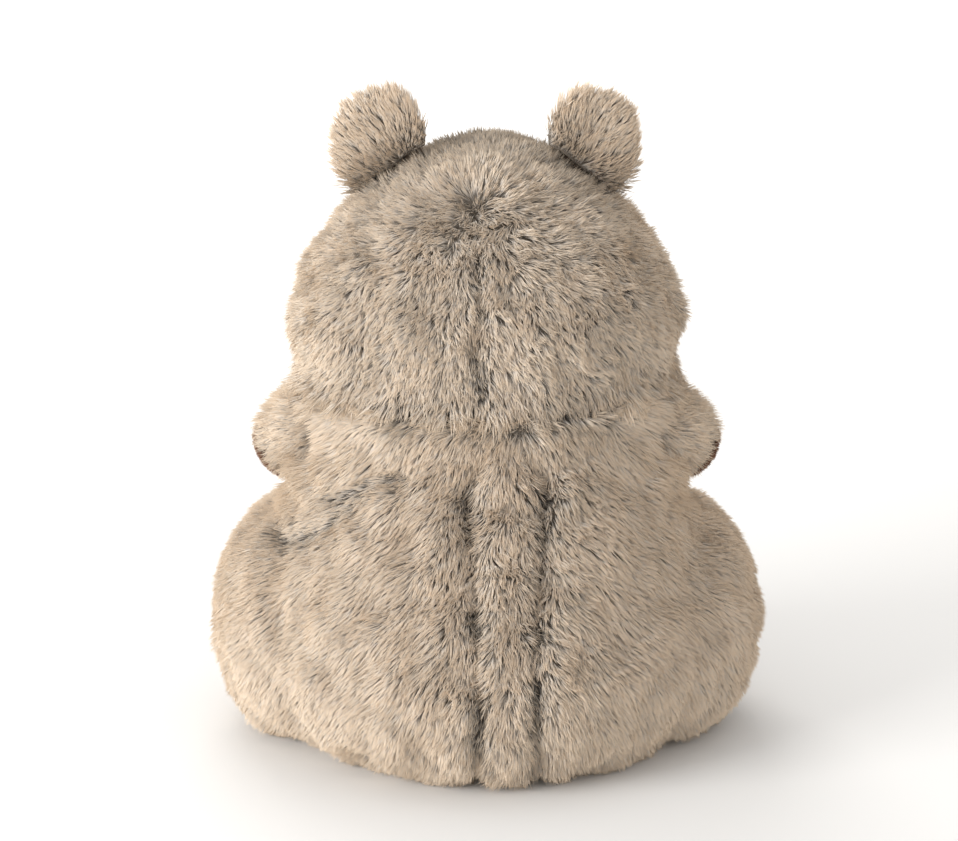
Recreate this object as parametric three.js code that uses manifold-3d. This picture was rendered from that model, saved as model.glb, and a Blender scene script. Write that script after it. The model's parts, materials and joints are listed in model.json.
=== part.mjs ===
// Seated plush quokka. Millimetres, +Z up, the face towards -Y, the toy's left side towards +X.
import * as THREE from 'three';
import { mergeVertices } from 'three/addons/utils/BufferGeometryUtils.js';
import Module from 'manifold-3d';

const wasm = await Module();
wasm.setup();
const { Manifold, Mesh } = wasm;

// Fabric and fits
const GAP = 0.3; // between neighbouring pieces
const SKIN = 3; // fur fabric: backing and the packed roots of its pile
const PAD = 1.6; // short-pile fabric of paws and soles

// Torso, measured from the middle of its flat base
const TORSO_HEIGHT = 164; // plane of the neck seam
const SEAT_HEIGHT = 50; // level of the widest ring
const BASE_SIDE = 76;
const BASE_BACK = 74;
const BASE_FRONT = 60;
const SEAT_SIDE = 104;
const SEAT_BACK = 106;
const SEAT_FRONT = 88;
const NECK_SIDE = 67;
const NECK_BACK = 58;
const NECK_FRONT = 56;
const LOWER_ROUND = 2.4; // power of the swell from the base to the seat
const UPPER_TAPER = 1.1; // power of the taper from the seat to the neck
const SIDE_SEAM_Y = -14; // belly panel in front of it, back panels behind it

// Centre back panel, a strip between two seams
const STRIP_SIDE = -9; // its middle lies a little to the right
const STRIP_BELOW_NECK = 18;
const STRIP_TOP_HALF = 16;
const STRIP_WAIST_HALF = 11;
const STRIP_FOOT_HALF = 12.5;

// Weighted pouch in the seat
const POUCH_RADIUS = 52;
const POUCH_WALL = 10;
const POUCH_CROWN = 20;

// Head, measured from the neck plane
const CHEEK_RISE = 33;
const CROWN_RISE = 72;
const UNDER_RISE = 59;
const HEAD_SIDE = 86;
const HEAD_BACK = 70;
const HEAD_FRONT = 85;
const HEAD_TAPER = 0.27; // share by which the sides draw in towards the crown
const HEAD_DEPTH_POWER = 0.72; // under 1, so the crown runs flat from back to front
const FACE_SEAM_Y = -6; // face panel in front of it, back panels behind it
const HEAD_TURN = 12; // degrees to each side

// Muzzle, nose and mouth
const MUZZLE_RISE = 28;
const MUZZLE_FORWARD = 80;
const MUZZLE_HALF_WIDTH = 40;
const MUZZLE_HALF_DEPTH = 33;
const MUZZLE_HALF_HEIGHT = 29;
const NOSE_HALF_WIDTH = 13;
const NOSE_HALF_HEIGHT = 9.5;
const NOSE_PROUD = 6;
const NOSE_LIFT = 34; // degrees above the muzzle's middle
const THREAD = 1; // radius of the mouth's stitched line
const SMILE_SPREAD = 40; // degrees to each side
const SMILE_DROP = 24; // degrees below the muzzle's middle

// Eyes, with a shank through the face panel and a lock washer behind it
const EYE_RADIUS = 8;
const EYE_DOME = 5.5;
const EYE_AROUND = 35; // degrees from the middle of the face
const EYE_UP = 20; // degrees above the cheeks
const SHANK_RADIUS = 2;
const SHANK_LENGTH = 9;
const WASHER_RADIUS = 7;
const WASHER_THICK = 1.6;
const WASHER_SET = 2.4; // behind the fabric, which curves in front of it

// Ears
const EAR_AROUND = -2; // degrees from the side of the head, towards the back
const EAR_UP = 54; // degrees above the cheeks
const EAR_STAND = 13; // middle of the ear above the head's surface
const EAR_HALF_WIDTH = 21.5;
const EAR_HALF_HEIGHT = 26;
const EAR_HALF_THICK = 7;
const EAR_DISH = 5; // depth of the hollow in its front
const EAR_DISH_SET = 2.1; // the hollow's deepest point, behind the middle of the ear
const LINING = 2.5; // short-pile fabric in that hollow
const LINING_SHARE = 0.84; // of the ear's outline
const EAR_YAW = 14; // degrees outwards
const EAR_FOLD = 25; // degrees to the front and to the back

// Arms
const ARM_BELOW_NECK = 20;
const ARM_AROUND = 4; // degrees from the side, towards the back
const ARM_LENGTH = 18; // from the body's surface to the middle of the paw
const ARM_SPLAY = 46; // degrees from the side, towards the front
const ARM_DROP = 30; // degrees below level
const ARM_ROOT_RADIUS = 20;
const PAW_RADIUS = 17;
const PAW_PAD_RADIUS = 12;
const PALM_DOWN = 4; // degrees from the end of the arm towards its underside
const PALM_OUT = 40; // degrees from the end of the arm to the side
const ARM_UP = 25; // degrees of swing
const ARM_DOWN = 15; // degrees of swing

// Haunches and feet
const HAUNCH_SIDE = 82;
const HAUNCH_FORWARD = 14;
const HAUNCH_LEVEL = 49;
const HAUNCH_HALF_WIDTH = 41;
const HAUNCH_HALF_DEPTH = 66;
const HAUNCH_HALF_HEIGHT = 57;
const FOOT_SIDE = 62;
const FOOT_FORWARD = 74;
const FOOT_LENGTH = 42; // from the middle of the heel to the middle of the toes
const FOOT_SPLAY = 12; // degrees outwards
const FOOT_RISE = 9; // degrees of toe lift
const HEEL_RADIUS = 17;
const TOE_RADIUS = 19;
const SOLE_HALF_WIDTH = 12;
const FOOT_UP = 18; // degrees of lift

// Facets: rings from bottom to top, and sides round each ring
const TORSO_ROWS = 11;
const TORSO_SIDES = 32;
const HEAD_ROWS = 11;
const HEAD_SIDES = 28;
const CORE_ROWS = 8; // stuffing, and the covers' inner faces
const CORE_SIDES = 20;
const LIMB_SIDES = 16;

const RAD = Math.PI / 180;
const TAU = 2 * Math.PI;
const Z_AXIS = new THREE.Vector3(0, 0, 1);
const CHEEK_Z = TORSO_HEIGHT + CHEEK_RISE;
const STRIP_TOP = TORSO_HEIGHT - STRIP_BELOW_NECK;

// Solids from geometries and back
function solid(geometry) {
  const bare = geometry.clone();
  bare.deleteAttribute('normal');
  bare.deleteAttribute('uv');
  const merged = mergeVertices(bare, 1e-4);
  const corners = Array.from(merged.index.array);
  const kept = [];
  for (let i = 0; i < corners.length; i += 3) {
    const [a, b, c] = corners.slice(i, i + 3);
    if (a !== b && b !== c && a !== c) kept.push(a, b, c);
  }
  return new Manifold(new Mesh({
    numProp: 3,
    vertProperties: new Float32Array(merged.attributes.position.array),
    triVerts: new Uint32Array(kept),
  }));
}

function geometryOf(body) {
  const mesh = body.getMesh();
  const geometry = new THREE.BufferGeometry();
  geometry.setAttribute('position', new THREE.BufferAttribute(mesh.vertProperties, 3));
  geometry.setIndex(new THREE.BufferAttribute(mesh.triVerts, 1));
  geometry.computeVertexNormals();
  return geometry;
}

function box(x0, x1, y0, y1, z0, z1) {
  const block = new THREE.BoxGeometry(x1 - x0, y1 - y0, z1 - z0);
  block.translate((x0 + x1) / 2, (y0 + y1) / 2, (z0 + z1) / 2);
  return solid(block);
}

// Closes a stack of rings into one body: rings run anticlockwise seen from +Z, lowest first.
function loft(rings) {
  const count = rings[0].length;
  const points = rings.flat();
  const faces = [];
  for (let i = 0; i + 1 < rings.length; i += 1) {
    for (let j = 0; j < count; j += 1) {
      const next = (j + 1) % count;
      const [a, b] = [i * count + j, i * count + next];
      faces.push(a, b, b + count, a, b + count, a + count);
    }
  }
  const middle = (ring) => ring.reduce((sum, p) => sum.add(p), new THREE.Vector3()).divideScalar(count);
  const low = points.push(middle(rings[0])) - 1;
  const high = points.push(middle(rings[rings.length - 1])) - 1;
  const last = (rings.length - 1) * count;
  for (let j = 0; j < count; j += 1) {
    const next = (j + 1) % count;
    faces.push(low, next, j, high, last + j, last + next);
  }
  const geometry = new THREE.BufferGeometry().setFromPoints(points);
  geometry.setIndex(faces);
  return solid(geometry);
}

// A point on a surface given by its angle around and its level, moved out along the normal.
function offsetPoint(surface, around, level, out) {
  const step = 1e-3;
  const point = surface(around, level);
  const alongRing = surface(around + step, level).sub(surface(around - step, level));
  const upwards = surface(around, level + step).sub(surface(around, level - step));
  return point.addScaledVector(alongRing.cross(upwards).normalize(), out);
}

function normalAt(surface, around, level) {
  return offsetPoint(surface, around, level, 1).sub(surface(around, level));
}

function shellOf(surface, levels, out, count) {
  return loft(levels.map((level) => Array.from({ length: count }, (_, j) =>
    offsetPoint(surface, (j * TAU) / count, level, out))));
}

// Torso: rings swell from the base to the seat and taper to the neck
function swell(z, base, seat, neck) {
  if (z < SEAT_HEIGHT) return seat - (seat - base) * ((SEAT_HEIGHT - z) / SEAT_HEIGHT) ** LOWER_ROUND;
  return seat - (seat - neck) * ((z - SEAT_HEIGHT) / (TORSO_HEIGHT - SEAT_HEIGHT)) ** UPPER_TAPER;
}

function torso(around, z) {
  const side = swell(z, BASE_SIDE, SEAT_SIDE, NECK_SIDE);
  const depth = Math.sin(around) > 0
    ? swell(z, BASE_BACK, SEAT_BACK, NECK_BACK)
    : swell(z, BASE_FRONT, SEAT_FRONT, NECK_FRONT);
  return new THREE.Vector3(side * Math.cos(around), depth * Math.sin(around), z);
}

const above = TORSO_HEIGHT + SKIN;
const torsoLevels = (rows) =>
  Array.from({ length: rows + 1 }, (_, i) => (above + SKIN) * (i / rows) ** 1.25 - SKIN);
const wide = 2 * (SEAT_SIDE + SEAT_BACK);
const belowNeck = box(-wide, wide, -wide, wide, SKIN + GAP, TORSO_HEIGHT - GAP / 2);
const torsoOuter = shellOf(torso, torsoLevels(TORSO_ROWS), 0, TORSO_SIDES);
const torsoCore = (out) => shellOf(torso, torsoLevels(CORE_ROWS), out, CORE_SIDES);
const torsoShell = torsoOuter.subtract(torsoCore(-SKIN)).intersect(belowNeck);
const torsoKeepOut = shellOf(torso, torsoLevels(TORSO_ROWS), GAP, TORSO_SIDES)
  .intersect(box(-wide, wide, -wide, wide, 0, TORSO_HEIGHT));

// The strip's outline seen from behind, as a prism through the back
function stripPrism(out) {
  const outline = new THREE.Shape();
  const half = [STRIP_FOOT_HALF + out, STRIP_WAIST_HALF + out, STRIP_TOP_HALF + out];
  const waist = 2 * half[1] - (half[0] + half[2]) / 2;
  const shoulder = STRIP_TOP - STRIP_TOP_HALF;
  outline.moveTo(-half[0], -SKIN);
  outline.lineTo(half[0], -SKIN);
  outline.quadraticCurveTo(waist, STRIP_TOP / 2, half[2], shoulder);
  outline.absellipse(0, shoulder, half[2], STRIP_TOP_HALF + out, 0, Math.PI, false, 0);
  outline.quadraticCurveTo(-waist, STRIP_TOP / 2, -half[0], -SKIN);
  const prism = new THREE.ExtrudeGeometry(outline, { depth: wide, bevelEnabled: false, curveSegments: 8 });
  prism.rotateX(Math.PI / 2);
  prism.translate(STRIP_SIDE, wide, 0);
  return solid(prism);
}

const half = GAP / 2;
const backHalf = box(-wide, wide, SIDE_SEAM_Y + half, wide, -wide, wide);
const stripRoom = stripPrism(GAP).intersect(box(-wide, wide, 0, wide, -wide, wide));
const leftHalf = box(half, wide, -wide, wide, -wide, wide);
const rightHalf = box(-wide, -half, -wide, wide, -wide, wide);
const backShell = torsoShell.intersect(backHalf).subtract(stripRoom);
const bodyBackLeft = backShell.intersect(leftHalf.translate(STRIP_SIDE, 0, 0));
const bodyBackRight = backShell.intersect(rightHalf.translate(STRIP_SIDE, 0, 0));
const centreBack = torsoShell.intersect(stripPrism(0)).intersect(box(-wide, wide, 0, wide, -wide, wide));
const bellyPanel = torsoShell.intersect(box(-wide, wide, -wide, SIDE_SEAM_Y - half, -wide, wide));
const basePanel = torsoOuter.intersect(box(-wide, wide, -wide, wide, 0, SKIN));

// Pouch with a domed top, standing on the base in a pocket that is open below
function pouchBody(out) {
  const floor = SKIN + GAP;
  const radius = POUCH_RADIUS + out;
  const profile = [new THREE.Vector2(0, floor - out), new THREE.Vector2(radius, floor - out)];
  for (let i = 0; i <= 5; i += 1) {
    const lean = (i / 5) * 90 * RAD;
    const reach = i === 5 ? 0 : radius * Math.cos(lean);
    profile.push(new THREE.Vector2(reach, floor + POUCH_WALL + (POUCH_CROWN + out) * Math.sin(lean)));
  }
  const turned = new THREE.LatheGeometry(profile, 24);
  turned.rotateX(Math.PI / 2);
  return solid(turned);
}
const pouch = pouchBody(0);
const bodyFilling = torsoCore(-SKIN - GAP).intersect(belowNeck).subtract(pouchBody(GAP));

// Head: round from side to side, flatter over the top from back to front
function head(around, lift) {
  const side = HEAD_SIDE * Math.cos(lift) * (1 - HEAD_TAPER * Math.max(0, Math.sin(lift)) ** 1.3);
  const reach = Math.sin(around) > 0 ? HEAD_BACK : HEAD_FRONT;
  const depth = reach * Math.cos(lift) ** HEAD_DEPTH_POWER;
  const rise = (lift > 0 ? CROWN_RISE : UNDER_RISE) * Math.sin(lift);
  return new THREE.Vector3(side * Math.cos(around), depth * Math.sin(around), CHEEK_Z + rise);
}

const headLevels = (rows) => Array.from({ length: rows + 1 }, (_, i) => (-50 + 137 * (i / rows)) * RAD);
const aboveNeck = box(-wide, wide, -wide, wide, TORSO_HEIGHT + half, 3 * TORSO_HEIGHT);
const headOuter = shellOf(head, headLevels(HEAD_ROWS), 0, HEAD_SIDES);
const headCore = (out) => shellOf(head, headLevels(CORE_ROWS), out, CORE_SIDES);
const headShell = headOuter.subtract(headCore(-SKIN)).intersect(aboveNeck);
const headKeepOut = shellOf(head, headLevels(HEAD_ROWS), GAP, HEAD_SIDES)
  .intersect(box(-wide, wide, -wide, wide, TORSO_HEIGHT - half, 3 * TORSO_HEIGHT));
const behindFace = box(-wide, wide, FACE_SEAM_Y + half, wide, -wide, 2 * wide);
const headBack = headShell.intersect(behindFace);
const headBackLeft = headBack.intersect(box(half, wide, -wide, wide, -wide, 2 * wide));
const headBackRight = headBack.intersect(box(-wide, -half, -wide, wide, -wide, 2 * wide));

// A round piece on an axis that leaves the head's surface, its profile given as radius and height
function onAxis(profile, origin, direction, segments) {
  const turned = new THREE.LatheGeometry(profile.map(([r, h]) => new THREE.Vector2(r, h)), segments);
  const turn = new THREE.Quaternion().setFromUnitVectors(new THREE.Vector3(0, 1, 0), direction);
  turned.applyQuaternion(turn);
  turned.translate(origin.x, origin.y, origin.z);
  return solid(turned);
}

// Eyes: a dome with a shank, held by a washer behind the fabric
function eyeParts(sign) {
  const around = (-90 + sign * EYE_AROUND) * RAD;
  const seat = head(around, EYE_UP * RAD);
  const out = normalAt(head, around, EYE_UP * RAD);
  const dome = [[0, -SHANK_LENGTH], [SHANK_RADIUS, -SHANK_LENGTH], [SHANK_RADIUS, GAP], [EYE_RADIUS, GAP]];
  for (let i = 1; i <= 4; i += 1) {
    const lean = (i / 4) * 90 * RAD;
    dome.push([i === 4 ? 0 : EYE_RADIUS * Math.cos(lean), GAP + EYE_DOME * Math.sin(lean)]);
  }
  const front = -SKIN - WASHER_SET;
  const back = front - WASHER_THICK;
  const bore = SHANK_RADIUS + GAP;
  const washer = [[bore, back], [WASHER_RADIUS, back], [WASHER_RADIUS, front], [bore, front], [bore, back]];
  const room = -SHANK_LENGTH - GAP;
  const pocket = [[0, room], [WASHER_RADIUS + GAP, room], [WASHER_RADIUS + GAP, 0], [0, 0]];
  const hole = [[0, room], [bore, room], [bore, SKIN], [0, SKIN]];
  return {
    eye: onAxis(dome, seat, out, 18),
    washer: onAxis(washer, seat, out, 16),
    pocket: onAxis(pocket, seat, out, 16),
    hole: onAxis(hole, seat, out, 16),
  };
}
const leftEye = eyeParts(1);
const rightEye = eyeParts(-1);
const facePanel = headShell
  .intersect(box(-wide, wide, -wide, FACE_SEAM_Y - half, -wide, 2 * wide))
  .subtract(leftEye.hole)
  .subtract(rightEye.hole);
const headFilling = headCore(-SKIN - GAP)
  .intersect(aboveNeck)
  .subtract(leftEye.pocket)
  .subtract(rightEye.pocket);

function ellipsoid(centre, radii, wideSegments, highSegments) {
  const ball = new THREE.SphereGeometry(1, wideSegments, highSegments);
  ball.rotateX(Math.PI / 2);
  ball.scale(radii.x, radii.y, radii.z);
  ball.translate(centre.x, centre.y, centre.z);
  return solid(ball);
}

// Muzzle: a stuffed cap sewn on the face, cut to the face panel behind it
const muzzleCentre = new THREE.Vector3(0, -MUZZLE_FORWARD, TORSO_HEIGHT + MUZZLE_RISE);
const muzzleRadii = (out) =>
  new THREE.Vector3(MUZZLE_HALF_WIDTH + out, MUZZLE_HALF_DEPTH + out, MUZZLE_HALF_HEIGHT + out);
const muzzle = ellipsoid(muzzleCentre, muzzleRadii(0), 22, 12)
  .subtract(headKeepOut)
  .intersect(aboveNeck);

function onMuzzle(sideways, lift, out) {
  const r = muzzleRadii(out);
  const level = Math.cos(lift * RAD);
  return new THREE.Vector3(
    muzzleCentre.x + r.x * Math.sin(sideways * RAD) * level,
    muzzleCentre.y - r.y * Math.cos(sideways * RAD) * level,
    muzzleCentre.z + r.z * Math.sin(lift * RAD),
  );
}

const muzzleKeepOut = ellipsoid(muzzleCentre, muzzleRadii(GAP), 22, 12);
const nose = ellipsoid(onMuzzle(0, NOSE_LIFT, 0),
  new THREE.Vector3(NOSE_HALF_WIDTH, NOSE_PROUD, NOSE_HALF_HEIGHT), 16, 8).subtract(muzzleKeepOut);

// Mouth: a stitched line down from the nose that parts into a smile
function threadAlong(points, steps) {
  const round = new THREE.Shape().absarc(0, 0, THREAD, 0, TAU, false);
  const extrudePath = new THREE.CatmullRomCurve3(points);
  const settings = { steps, extrudePath, bevelEnabled: false, curveSegments: 3 };
  return solid(new THREE.ExtrudeGeometry(round, settings));
}
const threadOut = GAP + THREAD;
const smile = Array.from({ length: 9 }, (_, i) => {
  const across = i / 4 - 1;
  const lift = -SMILE_DROP + (SMILE_DROP * across ** 2) / 2;
  return onMuzzle(across * SMILE_SPREAD, lift, threadOut);
});
const philtrum = Array.from({ length: 4 }, (_, i) => onMuzzle(0, SMILE_DROP * (i / 3 - 1), threadOut));
const mouth = threadAlong(smile, 18).add(threadAlong(philtrum, 5));

// A limb's moves: what stays still is turned the other way, and the limb keeps clear of all of it
function turned(body, pivot, axis, degrees) {
  const turn = new THREE.Matrix4().makeRotationAxis(axis, degrees * RAD);
  const there = new THREE.Matrix4().makeTranslation(pivot.x, pivot.y, pivot.z);
  const back = new THREE.Matrix4().makeTranslation(-pivot.x, -pivot.y, -pivot.z);
  return body.transform(there.multiply(turn).multiply(back).elements);
}

function clearOf(limb, still, pivot, axis, low, high) {
  const steps = 5;
  let rest = limb;
  for (let i = 0; i <= steps; i += 1) {
    const degrees = low + ((high - low) * i) / steps;
    rest = rest.subtract(turned(still, pivot, axis, -degrees));
  }
  return rest.subtract(still);
}

// Ears: a round lens with a dished front, the lining set in the dish, folding on its root seam
function earParts(sign) {
  const around = (sign > 0 ? EAR_AROUND : 180 - EAR_AROUND) * RAD;
  const root = head(around, EAR_UP * RAD);
  const out = normalAt(head, around, EAR_UP * RAD);
  const fold = new THREE.Vector3(0, 1, 0).cross(out).normalize();
  const centre = root.clone().addScaledVector(out, EAR_STAND);
  const stand = (body) => {
    const turn = new THREE.Matrix4().makeRotationZ(-sign * EAR_YAW * RAD);
    turn.setPosition(centre);
    return body.transform(turn.elements);
  };
  const middle = new THREE.Vector3();
  const lens = ellipsoid(middle, new THREE.Vector3(EAR_HALF_WIDTH, EAR_HALF_THICK, EAR_HALF_HEIGHT), 18, 10);
  const dishRadius = (EAR_HALF_WIDTH ** 2 + EAR_DISH ** 2) / (2 * EAR_DISH);
  const dishCentre = new THREE.Vector3(0, EAR_DISH_SET - dishRadius, 0);
  const dish = (out) => ellipsoid(dishCentre, new THREE.Vector3().setScalar(dishRadius + out), 28, 20);
  const outline = new THREE.CylinderGeometry(LINING_SHARE, LINING_SHARE, 4 * EAR_HALF_THICK, 20);
  outline.scale(EAR_HALF_WIDTH, 1, EAR_HALF_HEIGHT);
  const lining = dish(-GAP).subtract(dish(-GAP - LINING)).intersect(solid(outline));
  const trim = (body) => clearOf(stand(body), headKeepOut, root, fold, -EAR_FOLD, EAR_FOLD);
  return { back: trim(lens.subtract(dish(0))), lining: trim(lining) };
}
const leftEar = earParts(1);
const rightEar = earParts(-1);

// A tapering stuffed limb between two round ends, along a direction
function limb(from, direction, length, firstRadius, lastRadius, out, segments) {
  const profile = [];
  const rows = 5;
  for (let i = 0; i <= rows; i += 1) {
    const lean = (-90 + (90 * i) / rows) * RAD;
    profile.push([i === 0 ? 0 : (firstRadius + out) * Math.cos(lean), (firstRadius + out) * Math.sin(lean)]);
  }
  for (let i = 0; i <= rows; i += 1) {
    const lean = ((90 * i) / rows) * RAD;
    const radius = lastRadius + out;
    profile.push([i === rows ? 0 : radius * Math.cos(lean), length + radius * Math.sin(lean)]);
  }
  return onAxis(profile, from, direction, segments);
}

// Haunches: round the sides of the seat, cut to the torso
function haunchBody(sign, out) {
  const centre = new THREE.Vector3(sign * HAUNCH_SIDE, -HAUNCH_FORWARD, HAUNCH_LEVEL);
  const radii = new THREE.Vector3(HAUNCH_HALF_WIDTH + out, HAUNCH_HALF_DEPTH + out, HAUNCH_HALF_HEIGHT + out);
  return ellipsoid(centre, radii, 22, 12);
}
const aboveFloor = box(-wide, wide, -wide, wide, 0, wide);
const haunch = (sign) => haunchBody(sign, 0)
  .subtract(torsoKeepOut)
  .intersect(aboveFloor)
  .intersect(sign > 0 ? leftHalf : rightHalf);

// Arms: short, splayed to the front, each with a pad on its palm
function armParts(sign) {
  const around = (sign > 0 ? ARM_AROUND : 180 - ARM_AROUND) * RAD;
  const root = torso(around, TORSO_HEIGHT - ARM_BELOW_NECK);
  const splay = ARM_SPLAY * RAD;
  const drop = ARM_DROP * RAD;
  const along = new THREE.Vector3(sign * Math.cos(splay) * Math.cos(drop), -Math.sin(splay) * Math.cos(drop),
    -Math.sin(drop));
  const swing = along.clone().cross(Z_AXIS).normalize();
  const body = (out) => limb(root, along, ARM_LENGTH, ARM_ROOT_RADIUS, PAW_RADIUS, out, LIMB_SIDES);
  const turning = [-1, 0, 1].map((way) => turned(headKeepOut, new THREE.Vector3(), Z_AXIS, way * HEAD_TURN));
  const still = turning.reduce((sum, one) => sum.add(one), torsoKeepOut).add(haunchBody(sign, GAP));
  const trim = (one) => clearOf(one, still, root, swing, -ARM_DOWN, ARM_UP);
  const palm = along.clone()
    .applyAxisAngle(swing, -PALM_DOWN * RAD)
    .applyAxisAngle(Z_AXIS, sign * PALM_OUT * RAD);
  const paw = root.clone().addScaledVector(along, ARM_LENGTH);
  const reach = 2 * PAW_RADIUS;
  const patch = onAxis([[0, 0], [PAW_PAD_RADIUS, 0], [PAW_PAD_RADIUS, reach], [0, reach]], paw, palm, 16);
  const pad = body(PAD + GAP).subtract(body(GAP)).intersect(patch);
  return { arm: trim(body(0)), pad: trim(pad) };
}
const leftArm = armParts(1);
const rightArm = armParts(-1);

// Feet: long, pointing forward under the haunches, each with a sole
function footParts(sign) {
  const heel = new THREE.Vector3(sign * FOOT_SIDE, -FOOT_FORWARD, HEEL_RADIUS + PAD + 2 * GAP);
  const splay = FOOT_SPLAY * RAD;
  const rise = FOOT_RISE * RAD;
  const along = new THREE.Vector3(sign * Math.sin(splay) * Math.cos(rise), -Math.cos(splay) * Math.cos(rise),
    Math.sin(rise));
  const lift = along.clone().cross(Z_AXIS).normalize();
  const body = (out) => limb(heel, along, FOOT_LENGTH, HEEL_RADIUS, TOE_RADIUS, out, LIMB_SIDES);
  const still = torsoKeepOut.add(haunchBody(sign, GAP));
  const trim = (one) => clearOf(one, still, heel, lift, 0, FOOT_UP);
  const down = along.clone().applyAxisAngle(lift, -Math.PI / 2);
  const across = along.clone().cross(down);
  const oval = new THREE.CylinderGeometry(1, 1, 2 * TOE_RADIUS, 22);
  oval.translate(0, TOE_RADIUS, 0);
  oval.scale(SOLE_HALF_WIDTH, 1, (FOOT_LENGTH + TOE_RADIUS) / 2);
  const frame = new THREE.Matrix4().makeBasis(across.negate(), down, along);
  frame.setPosition(heel.clone().addScaledVector(along, FOOT_LENGTH / 2));
  oval.applyMatrix4(frame);
  const sole = body(PAD + GAP).subtract(body(GAP)).intersect(solid(oval));
  return { foot: trim(body(0)), sole: trim(sole) };
}
const leftFoot = footParts(1);
const rightFoot = footParts(-1);

// Named pieces with their colours
const FUR = { color: '#b39c86', roughness: 0.9 };
const PALE = { color: '#d3c2ab', roughness: 0.9 };
const SUEDE = { color: '#9a7a64', roughness: 0.85 };
const WADDING = { color: '#eeece6', roughness: 0.95 };
const COTTON = { color: '#cfc8ba', roughness: 0.9 };
const BLACK = { color: '#141110', roughness: 0.2 };
const WASHER = { color: '#e4e2dc', roughness: 0.5 };
const THREAD_BLACK = { color: '#2a211d', roughness: 0.8 };

const quokka = new THREE.Group();
quokka.name = 'plush_quokka';

function add(name, body, look) {
  const material = new THREE.MeshStandardMaterial({ ...look, metalness: 0 });
  const mesh = new THREE.Mesh(geometryOf(body), material);
  mesh.name = name;
  quokka.add(mesh);
}

add('base_panel', basePanel, FUR);
add('pellet_pouch', pouch, COTTON);
add('body_filling', bodyFilling, WADDING);
add('body_back_left', bodyBackLeft, FUR);
add('body_back_right', bodyBackRight, FUR);
add('centre_back_panel', centreBack, FUR);
add('belly_panel', bellyPanel, PALE);
add('left_haunch', haunch(1), FUR);
add('right_haunch', haunch(-1), FUR);
add('left_foot', leftFoot.foot, FUR);
add('right_foot', rightFoot.foot, FUR);
add('left_sole', leftFoot.sole, SUEDE);
add('right_sole', rightFoot.sole, SUEDE);
add('left_arm', leftArm.arm, FUR);
add('right_arm', rightArm.arm, FUR);
add('left_paw_pad', leftArm.pad, SUEDE);
add('right_paw_pad', rightArm.pad, SUEDE);
add('head_filling', headFilling, WADDING);
add('head_back_left', headBackLeft, FUR);
add('head_back_right', headBackRight, FUR);
add('face_panel', facePanel, FUR);
add('muzzle', muzzle, PALE);
add('nose', nose, BLACK);
add('mouth_stitch', mouth, THREAD_BLACK);
add('left_eye', leftEye.eye, BLACK);
add('right_eye', rightEye.eye, BLACK);
add('left_eye_washer', leftEye.washer, WASHER);
add('right_eye_washer', rightEye.washer, WASHER);
add('left_ear_back', leftEar.back, FUR);
add('right_ear_back', rightEar.back, FUR);
add('left_ear_lining', leftEar.lining, SUEDE);
add('right_ear_lining', rightEar.lining, SUEDE);

// The origin lies on the floor, under the middle of the whole
const extent = new THREE.Box3().setFromObject(quokka);
quokka.position.y = -(extent.min.y + extent.max.y) / 2;

export default quokka;
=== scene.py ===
# Seated plush quokka in long-pile fur fabric, seen from behind and a little above.
import json
import math

import bmesh
import bpy
import numpy as np
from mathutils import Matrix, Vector, noise
from mathutils.bvhtree import BVHTree


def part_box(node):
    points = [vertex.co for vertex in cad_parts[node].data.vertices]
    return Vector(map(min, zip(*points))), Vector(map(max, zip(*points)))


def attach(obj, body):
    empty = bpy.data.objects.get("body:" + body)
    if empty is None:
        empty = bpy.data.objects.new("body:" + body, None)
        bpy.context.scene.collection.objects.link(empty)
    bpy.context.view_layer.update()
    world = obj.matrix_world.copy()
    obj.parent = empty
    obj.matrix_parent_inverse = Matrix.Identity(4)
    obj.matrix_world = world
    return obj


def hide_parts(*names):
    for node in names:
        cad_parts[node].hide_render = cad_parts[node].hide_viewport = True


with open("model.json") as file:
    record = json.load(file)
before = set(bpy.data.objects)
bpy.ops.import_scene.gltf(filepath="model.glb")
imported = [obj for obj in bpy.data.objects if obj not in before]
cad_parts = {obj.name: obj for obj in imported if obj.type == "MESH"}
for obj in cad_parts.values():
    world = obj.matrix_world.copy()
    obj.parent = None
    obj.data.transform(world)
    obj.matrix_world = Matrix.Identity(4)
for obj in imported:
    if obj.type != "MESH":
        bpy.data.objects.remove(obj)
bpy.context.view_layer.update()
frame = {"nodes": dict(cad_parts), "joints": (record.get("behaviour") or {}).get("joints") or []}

# Camera, floor and light
# The toy is seen from behind and a little above, on a plain pale floor, as in the photograph.
# A large soft lamp stands at the left of the camera, and a weaker one lights the face.
MM = 0.001
VIEW_AIM = Vector((3.4, 0, 139.7)) * MM
VIEW_DISTANCE = 1600 * MM
VIEW_RISE = math.radians(16)
PICTURE_WIDTH = 958
PIXEL_SIZE = 0.45 * MM
SENSOR_WIDTH = 36
FLOOR_HALF = 4
FLOOR_COLOUR = "#f7f5f2"
WORLD_COLOUR = "#ffffff"
WORLD_STRENGTH = 0.76
MATT_ROUGHNESS = 0.95
MATT_GLOSS = 0.1
LAMPS = (
    ("key_lamp", (1.9, 1.3, 0.85), 1.2, 47),
    ("front_lamp", (0.5, -1.9, 1.5), 1.4, 22),
)


def linear(colour):
    """An sRGB hex colour as linear red, green, blue and alpha."""
    shares = [int(colour[start:start + 2], 16) / 255 for start in (1, 3, 5)]
    return [s / 12.92 if s <= 0.04045 else ((s + 0.055) / 1.055) ** 2.4 for s in shares] + [1]


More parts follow.
